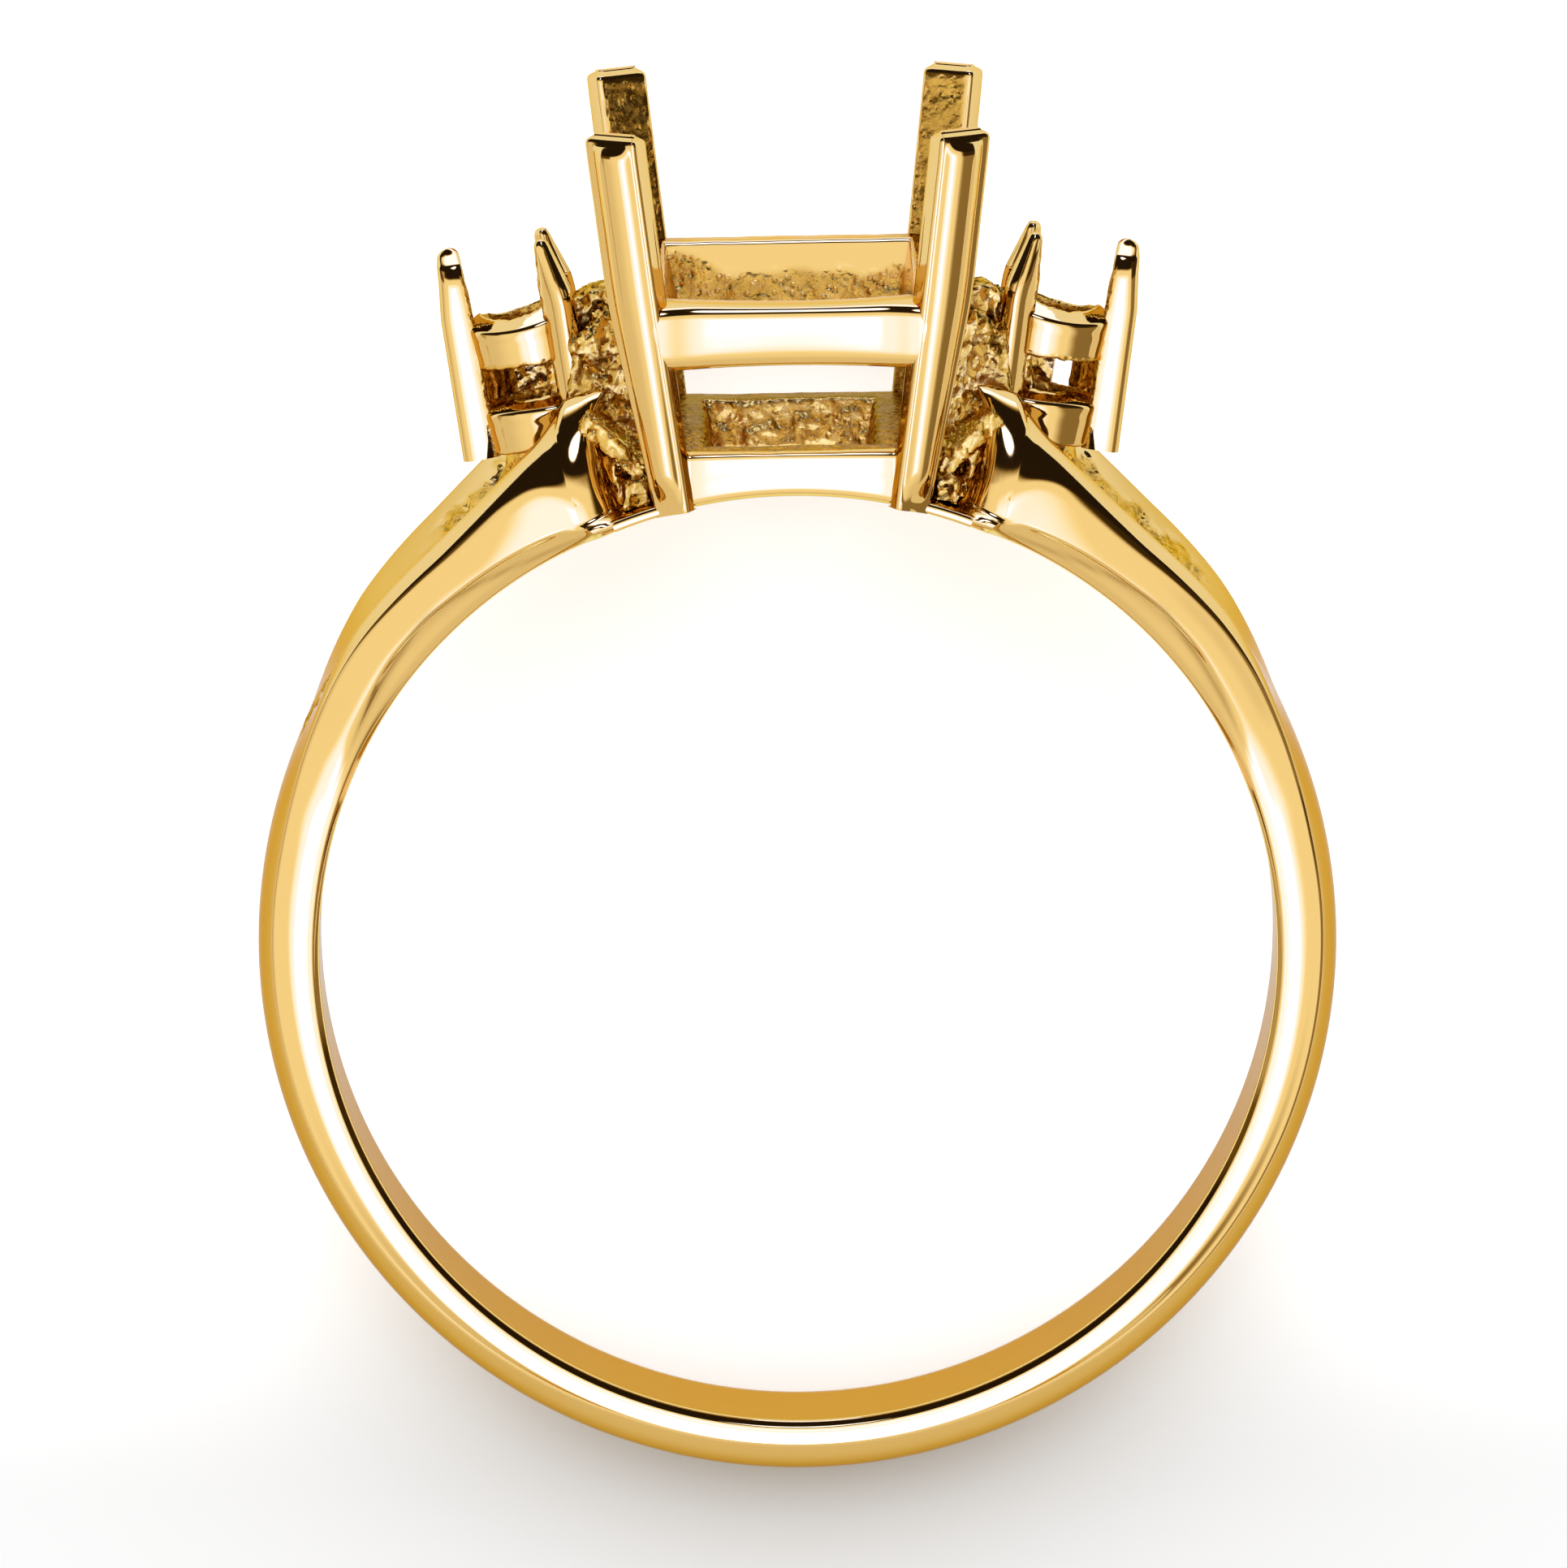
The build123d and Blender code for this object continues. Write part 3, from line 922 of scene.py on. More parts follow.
    def casting_share(self, place: Array, angle: Array, out: Array) -> Array:
        """Share of rough cast in the channels, in patches with uneven borders.

        The right channel is rough nearly all along. The left one is rough beside the head and
        in a short stretch near its start.

        Args:
            place: The shank's points.
            angle: Their angles up from the ring's side.
            out: Their distances from the hole's axis.

        Returns:
            The share at each point.
        """
        along = place[..., 1]
        patches = cast_noise(place, 0.7, 15.0)
        reach = np.where(along > 0, 0.75, 0.25)
        room = self.at(self.floor_half, angle) + reach + 0.35 * patches - np.abs(along)
        strip = smooth_step(room, 0.0, 0.35)
        wander = angle + 7.0 * patches
        start = smooth_step(wander, 24.0, 30.0) * smooth_step(wander, 42.0, 34.0)
        start = start * smooth_step(-along, -0.5, 0.2)
        left = smooth_step(wander, 47.0, 54.0) + 0.6 * start
        right = smooth_step(wander, 36.0, 44.0)
        in_channel = (out > 9.5) & (angle > 24)
        share = 1.4 * in_channel * strip * np.where(place[..., 0] < 0, left, right)
        return np.minimum(share, 1.0)

    def build(self) -> bpy.types.Object:
        """Make the shank.

        Returns:
            The finished piece.
        """
        grid, turn = self.rows()
        mirror = grid[:, -2:0:-1] * np.array((1.0, -1.0, 1.0))
        loop = np.concatenate((grid, mirror), axis=1)
        angle = np.concatenate((turn, turn[:, -2:0:-1]), axis=1)
        left = loop[:0:-1] * np.array((-1.0, 1.0, 1.0))
        whole = np.concatenate((left, loop))
        angle = np.concatenate((angle[:0:-1], angle))
        out = np.hypot(whole[..., 0], whole[..., 2])
        share = self.casting_share(whole, angle, out)
        marks = (cast_noise(whole, 0.26, 3.0) - 0.3) * share * self.mark_depth
        away = whole * np.array((1.0, 0.0, 1.0)) / out[..., None]
        # Paint a dark line of shade along the crease, only where the surface is not rough cast.
        above = out - eased_curve(self.shade_line_angles, self.shade_line_radii, angle, 2.0)
        painted_crease_shade = np.exp(-((above / self.shade_line_width) ** 2)) * (np.abs(whole[..., 1]) > 1.2)
        share = share - 0.6 * painted_crease_shade * self.at(self.crease, angle) * (share < 0.01)
        draft = Draft().add_shell(whole + away * marks[..., None], share)
        return self.workshop.finish(draft.to_mesh("shank"), "shank")


# Centre head


@dataclass
class CentreHead:
    """Four corner prongs on an upper gallery and a base gallery, for an oblong stone."""

    workshop: Workshop
    stone_half_width: float = 3.0
    stone_half_length: float = 4.0
    heights: tuple = (8.0, 12.3, 15.4)
    outsets: tuple = (-0.88, -0.155, 0.215)
    widths: tuple = (0.70, 1.06, 1.06)
    depths: tuple = (0.30, 0.45, 0.47)
    facing: float = 57.0
    rib_share: float = 0.36
    rib_shift: float = 0.06
    rib_height: float = 0.20
    rib_foot: tuple = (8.46, 8.5, 8.6, 8.9)
    rib_foot_shares: tuple = (0.25, 0.6, 0.88, 1)
    rib_end: tuple = (14.92, 15.25)
    bar_rounding: float = 0.09
    tip_bevel: float = 0.13
    gallery_top: float = 12.33
    gallery_depth: float = 1.28
    base_top: float = 9.52
    rail_thickness: float = 0.76
    rail_corner: float = 0.45
    gallery_inset: float = 0.02
    base_inset: float = 0.68
    lean: float = 0.2

    def prong_loop(self, height: float) -> Array:
        """Outline of a prong at one height, across and out from the bar's outer face.

        Args:
            height: Height above the ring's centre.

        Returns:
            Nodes from the middle of the inner face all the way round, past the rib.
        """
        width = float(eased_curve(self.heights, self.widths, height, 0.8))
        depth = float(eased_curve(self.heights, self.depths, height, 0.8))
        top = self.heights[-1]
        inset = self.tip_bevel * float(smooth_step(height, top - 0.17, top)) ** 2
        ending = float(np.interp(height, self.rib_end, (0, 1)))
        rise = (1 - ending**2) * float(smooth_step(height, self.rib_foot[0], 9.15))
        foot = float(np.interp(height, self.rib_foot, self.rib_foot_shares))
        spread = self.rib_share * width * foot
        half, low, corner = width / 2 - inset, -depth + inset, self.bar_rounding
        rib = max(self.rib_height * rise, 0.0005)
        bend = math.degrees(math.atan2(rib, spread)) * 2.0
        middle = -self.rib_shift * width
        return np.array(
            (
                (0.0, low, -90.0),
                (-(half - corner), low, -90.0),
                (-half, low + corner, 0.0),
                (-half, -corner - inset, 0.0),
                (-(half - corner), -inset, 90.0),
                (middle - spread - 0.04, -inset, 90.0),
                (middle - spread + 0.015, -inset + 0.2 * rib, 90.0 - bend),
                (middle, -inset + rib, 90.0),
                (middle + spread - 0.015, -inset + 0.2 * rib, 90.0 + bend),
                (middle + spread + 0.04, -inset, 90.0),
                (half - corner, -inset, 90.0),
                (half, -corner - inset, 180.0),
                (half, low + corner, 180.0),
                (half - corner, low, 270.0),
                (0.0, low, 270.0),
            )
        )

    def prong(self) -> Draft:
        """One prong, standing at the origin where the stone's corner will be.

        Returns:
            The prong, whose inner face is rough cast.
        """
        top = self.heights[-1]
        levels = np.concatenate(
            (
                np.arange(8.0, 8.45, 0.1),
                np.linspace(8.48, 8.95, 13),
                np.arange(9.05, 14.9, 0.1),
                np.linspace(14.92, 15.24, 8),
                top - 0.12 * (1 - np.sin(np.radians(np.linspace(5, 90, 6)))),
            )
        )
        counts = (5, 4, 3, 4, 4, 4, 9, 9, 4, 4, 4, 3, 4, 5)
        loops = trace(np.stack([self.prong_loop(level) for level in levels]), counts)[:, :-1]
        outset = eased_curve(self.heights, self.outsets, levels, 0.8)[:, None]
        across, out = loops[..., 0], loops[..., 1]
        turn = math.radians(self.facing)
        x = outset + across * math.sin(turn) + out * math.cos(turn)
        y = outset - across * math.cos(turn) + out * math.sin(turn)
        z = np.repeat(levels[:, None], loops.shape[1], axis=1)
        grid = np.stack((x, y, z), axis=-1)
        inner = smooth_step(-out, 0.28, 0.38) * smooth_step(0.47 - np.abs(across), 0.0, 0.08)
        share = inner * smooth_step(z, 9.3, 9.6) * smooth_step(top - z, 0.12, 0.3)
        bumps = cast_noise(grid, 0.25, 9.0) * share * 0.03
        grid = grid - np.array((math.cos(turn), math.sin(turn), 0.0)) * bumps[..., None]
        return Draft().add_shell(grid, share)

    def corner_tree(self) -> GeometryTree:
        """Tree that stands a mirrored prong at each corner of the stone.

        Returns:
            The tree.
        """
        length = NodeInputs.LENGTH
        made = GeometryTree(
            "corner_prongs",
            (
                ("Half width", length, self.stone_half_width),
                ("Half length", length, self.stone_half_length),
                ("Corners", NodeInputs.COUNT, 4),
                ("Gold", NodeInputs.MATERIAL, self.workshop.polished),
            ),
        )
        sketch, given = made.sketch, made.source.outputs
        index = sketch.node("GeometryNodeInputIndex").outputs[0]
        side = sketch.math("MULTIPLY_ADD", sketch.math("MODULO", index, 2.0), 2.0, -1.0)
        end = sketch.math("MULTIPLY_ADD", sketch.math("GREATER_THAN", index, 1.5), 2.0, -1.0)
        across = sketch.math("MULTIPLY", side, given["Half width"])
        along = sketch.math("MULTIPLY", end, given["Half length"])
        place = sketch.node("ShaderNodeCombineXYZ", {0: across, 1: along}).outputs[0]
        points = sketch.node("GeometryNodePoints", {"Count": given["Corners"], "Position": place})
        mirror = sketch.node("ShaderNodeCombineXYZ", {0: side, 1: end, 2: 1.0})
        made.close(points.outputs[0], {"Scale": mirror.outputs[0]})
        return made

    def rail_path(self, half_width: float, half_length: float) -> tuple[Array, Array]:
        """Points and outward directions round a rail's outer line.

        Args:
            half_width: Half of the outline's width.
            half_length: Half of its length.

        Returns:
            Points and unit outward directions, one row each, from corner to corner.
        """
        radius = self.rail_corner
        points, ways = [], []
        for quarter in range(4):
            first = math.radians(90 * quarter)
            middle = first + math.pi / 4
            hub = (
                math.copysign(half_width - radius, math.cos(middle)),
                math.copysign(half_length - radius, math.sin(middle)),
            )
            for t in np.linspace(0, math.pi / 2, 7):
                way = (math.cos(first + t), math.sin(first + t))
                points.append((hub[0] + radius * way[0], hub[1] + radius * way[1]))
                ways.append(way)
            after = first + math.pi / 2
            way = (math.cos(after), math.sin(after))
            run = 2 * ((half_width if quarter % 2 == 0 else half_length) - radius)
            step = (-way[1], way[0])
            start = points[-1]
            for share in np.linspace(0, 1, int(run / 0.07))[1:-1]:
                points.append((start[0] + step[0] * run * share, start[1] + step[1] * run * share))
                ways.append(way)
        return np.array(points), np.array(ways)

    def rail_profile(self, depths: Array, bored: bool) -> Array:
        """Closed outlines of a rail, outward and down from its top outer edge.

        Args:
            depths: The rail's height at each place along it.
            bored: Whether it is the base, with small roundings along its edges.

        Returns:
            Points as places, points and their outward and downward values.
        """
        thick = self.rail_thickness
        edge, toe = (0.55, 0.12) if bored else (1.0, 0.28)
        low = -depths
        nodes = [
            (-thick / 2, low, -90),
            (-thick + 0.06, low, -90),
            (-thick, low + 0.06, 0.0),
            (-thick, -0.08, 0.0),
            (-thick + 0.08, 0.0, 90),
            (-0.30 * edge, 0.0, 90),
            (-0.16 * edge, -0.05 * edge, 124),
            (-0.085 * edge, -0.13 * edge, 148),
            (-0.018 * edge, -0.32 * edge, 169),
            (0.0, low * 0.55, 180),
            (-0.004, low + toe, 182),
            (-0.10, low + 0.03, 222),
            (-thick / 2, low, 270),
        ]
        return trace_each(depths, nodes, (3, 3, 14, 4, 4, 3, 4, 4, 4, 4, 5, 2))[:, :-1]

    def rail(self, top: float, inset: float, bored: bool, seed: float) -> Draft:
        """One oblong rail with a rough inner face.

        Args:
            top: Height of its top.
            inset: How far its outer top edge stands inside the stone's outline.
            bored: Whether its underside follows the finger hole.
            seed: Where its casting marks are read.

        Returns:
            The rail.
        """
        hole = self.workshop.frame.hole_radius
        path, ways = self.rail_path(self.stone_half_width - inset, self.stone_half_length - inset)
        depths = np.full(len(path), self.gallery_depth)
        if bored:
            depths = top - np.sqrt(hole**2 - path[:, 0] ** 2)
        profile = self.rail_profile(depths, bored)
        out, down = profile[..., 0], profile[..., 1]
        shift = out + self.lean * down
        x = path[:, 0][:, None] + ways[:, 0][:, None] * shift
        y = path[:, 1][:, None] + ways[:, 1][:, None] * shift
        inner = smooth_step(-out, self.rail_thickness - 0.12, self.rail_thickness - 0.02)
        if bored:
            upper = smooth_step(-out, 0.10, 0.22) * smooth_step(down, -0.06, -0.01)
            share = np.maximum(inner, upper)
        else:
            wave = 0.05 * np.sin(3.1 * x + 0.8) + 0.03 * np.sin(7.7 * x)
            wave = wave + 0.35 * np.exp(-(((x + 2.0) / 0.5) ** 2))
            share = inner * smooth_step(-down + wave, 0.36, 0.80)
        amount = 0.07 if bored else 0.03
        ends = (np.abs(ways[:, 1]) > 0.99)[:, None]
        fillet = (0.014 * x**2 + 0.06 * smooth_step(np.abs(x), 1.4, 2.3) ** 2) * ends
        y = y + np.sign(y) * fillet * smooth_step(-out, 0.2, 0.0)
        if not bored:
            waist = 0.12 * np.clip(1 - (x / 2.1) ** 2, 0, 1) * ends * smooth_step(-y, 0.0, 0.5)
            middle = -self.gallery_depth / 2
            down = middle + (down - middle) * (1 - waist)
        grid = np.stack((x, y, top + down), axis=-1)
        bumps = cast_noise(grid, 0.34, seed) * share * amount
        way = np.concatenate((ways, np.zeros((len(ways), 1))), axis=1)[:, None, :]
        grid = grid - way * bumps[..., None]
        wobble = cast_noise(grid, 1.6, seed + 4.0) * 0.02 * smooth_step(down, -0.1, 0.0)
        grid[..., 2] += wobble
        if bored:
            clear_hole(grid, hole)
        return Draft().add_shell(grid, share, ring=True)

    def build(self) -> None:
        """Make the prongs and both rails."""
        mesh = turned_outwards(self.corner_tree().run(self.prong().to_mesh("prong")))
        places = vertex_places(mesh)
        clear_hole(places, self.workshop.frame.hole_radius)
        mesh.vertices.foreach_set("co", places.ravel())
        self.workshop.finish(mesh, "centre_prongs")
        gallery = self.rail(self.gallery_top, self.gallery_inset, False, 1.0)
        self.workshop.finish(gallery.to_mesh("gallery"), "gallery_rail")
        base = self.rail(self.base_top, self.base_inset, True, 5.0)
        self.workshop.finish(base.to_mesh("base"), "base_rail")


# Side heads


class SideProng(Enum):
    """The two kinds of side prong, by level from the tip down.

    Each row is the drop below the tip, the places of the outer and the inner face, the width
    and the sideways shift.
    """

    OUTER = (
        (0.0, 1.13, 0.98, 0.07, 0.22),
        (0.02, 1.17, 0.95, 0.08, 0.22),
        (0.10, 1.27, 0.88, 0.14, 0.19),
        (0.30, 1.31, 0.86, 0.34, 0.05),
        (0.58, 1.33, 0.86, 0.48, 0.0),
        (1.24, 1.41, 0.82, 0.48, 0.0),
        (3.84, 1.47, 0.80, 0.48, 0.0),
    )
    INNER = (
        (0.0, 0.98, 0.85, 0.18, 0.0),
        (0.02, 1.00, 0.83, 0.20, 0.0),
        (0.12, 1.05, 0.80, 0.30, 0.0),
        (0.86, 1.33, 0.80, 0.46, 0.0),
        (1.0, 1.37, 0.80, 0.46, 0.0),
        (1.24, 1.39, 0.80, 0.46, 0.0),
        (3.84, 1.28, 0.80, 0.46, 0.0),
    )


@dataclass
class SideHeads:
    """A three prong head for a small round stone on each shoulder."""

    workshop: Workshop
    offset: float = 5.09
    tip_height: float = 12.91
    tilt: float = 9.5
    rail_inner: float = 0.66
    rail_outer: float = 1.00
    gallery_drop: float = 1.24
    gallery_depth: float = 0.99
    gap: float = 0.62
    base_depth: float = 0.95
    scallop: float = 0.13
    waist: float = 0.19
    tip_rounding: float = 0.05
    spans: tuple = ((0, 135), (135, 225), (225, 360))
    wall_span: tuple = (18.0, 162.0)
    window: tuple = (52.0, 82.0)
    wall_share: float = 0.55
    wall_bumps: float = 0.035
    stem_length: float = 1.35
    stem_radius: float = 0.66
    stem_flare: float = 0.34

    def prong(self, kind: SideProng) -> Draft:
        """One side prong on the +X side of its head, tips at height zero.

        Args:
            kind: Which of the two kinds it is.

        Returns:
            The prong.
        """
        round_off = self.tip_rounding
        levels = np.concatenate((np.linspace(3.84, 0.5, 30), np.linspace(0.46, 0.07, 13)))
        tip = round_off * (1 - np.sin(np.radians(np.linspace(0, 90, 6))))
        levels = np.concatenate((levels, tip))
        knots, *columns = np.array(kind.value).T
        far, near, wide, shift = (eased_curve(knots, column, levels, 0.04) for column in columns)
        close = np.sqrt(np.clip(1 - ((round_off - levels) / round_off) ** 2, 0, 1))
        close = np.where(levels < round_off, np.maximum(close, 0.02), 1.0)
        middle = (far + near) / 2
        far = middle + (far - middle) * close
        near = middle + (near - middle) * close
        half = wide * close / 2
        bend = np.minimum(0.13, 0.45 * (far - near))
        corner = np.minimum(0.08, 0.3 * (far - near))
        nodes = [
            (0.0, near, -90),
            (-(half - corner), near, -90),
            (-half * 0.94, near + corner, -16),
            (-half, (near + far) / 2, 0.0),
            (-half * 0.92, far - bend, 22),
            (-half * 0.58, far - 0.25 * bend, 60),
            (0.0, far, 90),
        ]
        loops = both_halves(trace_each(half, nodes, (3, 4, 3, 3, 4, 4)))
        z = np.repeat(-levels[:, None], loops.shape[1], axis=1)
        grid = np.stack((loops[..., 1], loops[..., 0] + shift[:, None], z), axis=-1)
        inside = smooth_step(-loops[..., 1], -0.93, -0.84) * smooth_step(levels, 0.3, 0.5)[:, None]
        share = inside * 0.8
        grid[..., 0] -= cast_noise(grid, 0.2, 21.0) * share * 0.03
        return Draft().add_shell(grid, share)

    def rail(self, drop: float, depth: float, scalloped: bool) -> Draft:
        """One round rail of the head.

        Args:
            drop: How far its top stands below the tips.
            depth: Its height.
            scalloped: Whether its top edge dips between the prongs.

        Returns:
            The rail.
        """
        turns = np.radians(np.arange(0, 360, 3.0))
        dip, waist = np.zeros_like(turns), np.zeros_like(turns)
        for first, last in self.spans:
            share = (np.degrees(turns) - first) / (last - first)
            inside = (share >= 0) & (share < 1)
            bow = np.sin(np.pi * np.clip(share, 0, 1))
            waist = np.where(inside, self.waist * bow, waist)
            if scalloped:
                depth_here = self.scallop * (1.0 if last - first > 100 else 0.7)
                dip = np.where(inside, depth_here * bow**0.8, dip)
        top, low = -drop - dip, -drop - depth
        near, far = self.rail_inner, self.rail_outer
        nodes = [
            ((near + far) / 2, low, -90),
            (near + 0.04, low, -90),
            (near, low + 0.05, 0.0),
            (near, top - 0.05, 0.0),
            (near + 0.05, top, 92),
            (near + 0.10, top - 0.02, 124),
            (far - 0.05, top - 0.16, 126),
            (far, top - 0.24, 176),
            (far - 0.02, (top + low) / 2, 181),
            (far - 0.05, low + 0.06, 182),
            (far - 0.10, low, 268),
            ((near + far) / 2, low, 270),
        ]
        profile = trace_each(turns, nodes, (2, 3, 8, 3, 2, 4, 4, 5, 5, 3, 2))[:, :-1]
        radius = profile[..., 0] - waist[:, None]
        grid = self.around(turns, radius, profile[..., 1])
        share = smooth_step(-profile[..., 0], -(near + 0.1), -(near + 0.02)) * 0.9
        under = smooth_step(-profile[..., 1], drop + depth - 0.12, drop + depth - 0.02)
        share = np.maximum(share, under * (0.9 if scalloped else 0.3))
        grid[..., 2] += cast_noise(grid, 0.22, 31.0 + drop) * share * 0.04
        return Draft().add_shell(grid, share, ring=True)

    @staticmethod
    def around(turns: Array, radius: Array, height: Array) -> Array:
        """Points round a head's axis, one row for each turn."""
        x, y = radius * np.cos(turns)[:, None], radius * np.sin(turns)[:, None]
        return np.stack((x, y, height), axis=-1)

    def back_wall(self, first: float, last: float, seed: float) -> Draft:
        """Rough wall that closes the gap between the rails at the head's back.

        Args:
            first: Angle at which it starts, in degrees round the head's axis.
            last: Angle at which it ends.
            seed: Where its casting marks are read.

        Returns:
            The wall.
        """
        turns = np.radians(np.linspace(first, last, max(8, int((last - first) / 3))))
        ceiling = -self.gallery_drop - self.gallery_depth
        levels = np.linspace(ceiling - self.gap - 0.12, ceiling + 0.12, 13)
        near, far = self.rail_inner + 0.02, self.rail_outer - 0.05
        radius = np.concatenate((np.full(13, near), np.full(13, far)))
        height = np.concatenate((levels, levels[::-1]))
        grid = self.around(turns, *np.broadcast_arrays(radius, height, turns[:, None])[:2])
        bumps = cast_noise(grid, 0.2, seed) * self.wall_bumps
        grid[..., 0] -= bumps * np.cos(turns)[:, None]
        grid[..., 1] -= bumps * np.sin(turns)[:, None]
        return Draft().add_shell(grid, self.wall_share)

    def stem(self) -> Draft:
        """The rough stem that stands the head on the channel's floor.

        Returns:
            The stem, which widens downwards.
        """
        levels = np.linspace(0, self.stem_length, 16)
        start = self.gallery_drop + self.gallery_depth + self.gap + 0.5
        turns = np.radians(np.arange(0, 360, 6.0))
        radius = self.stem_radius + self.stem_flare * smooth_step(levels, 0.4, 1.3)
        x = radius[:, None] * np.cos(turns)
        y = radius[:, None] * np.sin(turns)
        z = np.repeat((-start - levels)[:, None], len(turns), axis=1)
        grid = np.stack((x, y, z), axis=-1)
        bumps = cast_noise(grid, 0.3, 40.0) * 0.06
        grid[..., 0] += bumps * np.cos(turns)
        grid[..., 1] += bumps * np.sin(turns)
        return Draft().add_shell(grid, 0.8)

    def place(self, side: Side) -> Matrix:
        """Where the head of a side stands."""
        turn = Matrix.Rotation(math.radians(self.tilt), 4, "Y")
        return side.matrix @ Matrix.Translation((self.offset, 0.0, self.tip_height)) @ turn

    def prong_tree(self, angles: tuple[float, float]) -> GeometryTree:
        """Tree that repeats a prong round a head's axis.

        Args:
            angles: Angle of the first copy and the step to the next, in degrees.

        Returns:
            The tree.
        """
        length = NodeInputs.LENGTH
        made = GeometryTree(
            "side_prongs",
            (
                ("First angle", length, math.radians(angles[0])),
                ("Step", length, math.radians(angles[1])),
                ("Copies", NodeInputs.COUNT, 2),
                ("Gold", NodeInputs.MATERIAL, self.workshop.polished),
            ),
        )
        sketch, given = made.sketch, made.source.outputs
        index = sketch.node("GeometryNodeInputIndex").outputs[0]
        turn = sketch.math("MULTIPLY_ADD", index, given["Step"], given["First angle"])
        points = sketch.node("GeometryNodePoints", {"Count": given["Copies"]})
        spin = sketch.node("ShaderNodeCombineXYZ", {2: turn})
        made.close(points.outputs[0], {"Rotation": spin.outputs[0]})
        return made

    def build(self) -> None:
        """Make both heads."""
        base_drop = self.gallery_drop + self.gallery_depth + self.gap
        here = Matrix.Identity(4)
        rails = Draft().add_copy(self.rail(self.gallery_drop, self.gallery_depth, True), here)
        rails.add_copy(self.rail(base_drop, self.base_depth, False), here)
        rails.add_copy(self.stem(), here)
        start, stop = self.wall_span
        for side in Side:
            place = self.place(side)
            both = Draft().add_copy(rails, place)
            walls = [self.wall_span]
            if side is Side.RIGHT:
                walls = [(start, self.window[0]), (self.window[1], stop)]
            for number, (first, last) in enumerate(walls):
                both.add_copy(self.back_wall(first, last, 70.0 + 5 * number + side.value), place)
            self.workshop.finish(both.to_mesh(side.label), f"{side.label}_side_rails")
            outer = Draft().add_copy(self.prong(SideProng.OUTER), place)
            self.workshop.finish(outer.to_mesh(side.label), f"{side.label}_outer_prong")
            inner = self.prong(SideProng.INNER).to_mesh("side_prong")
            mesh = self.prong_tree((135.0, 90.0)).run(inner)
            mesh.transform(place)
            if side is Side.LEFT:
                mesh.flip_normals()
            self.workshop.finish(mesh, f"{side.label}_inner_prongs")


# Rough castings between the heads and the shoulders


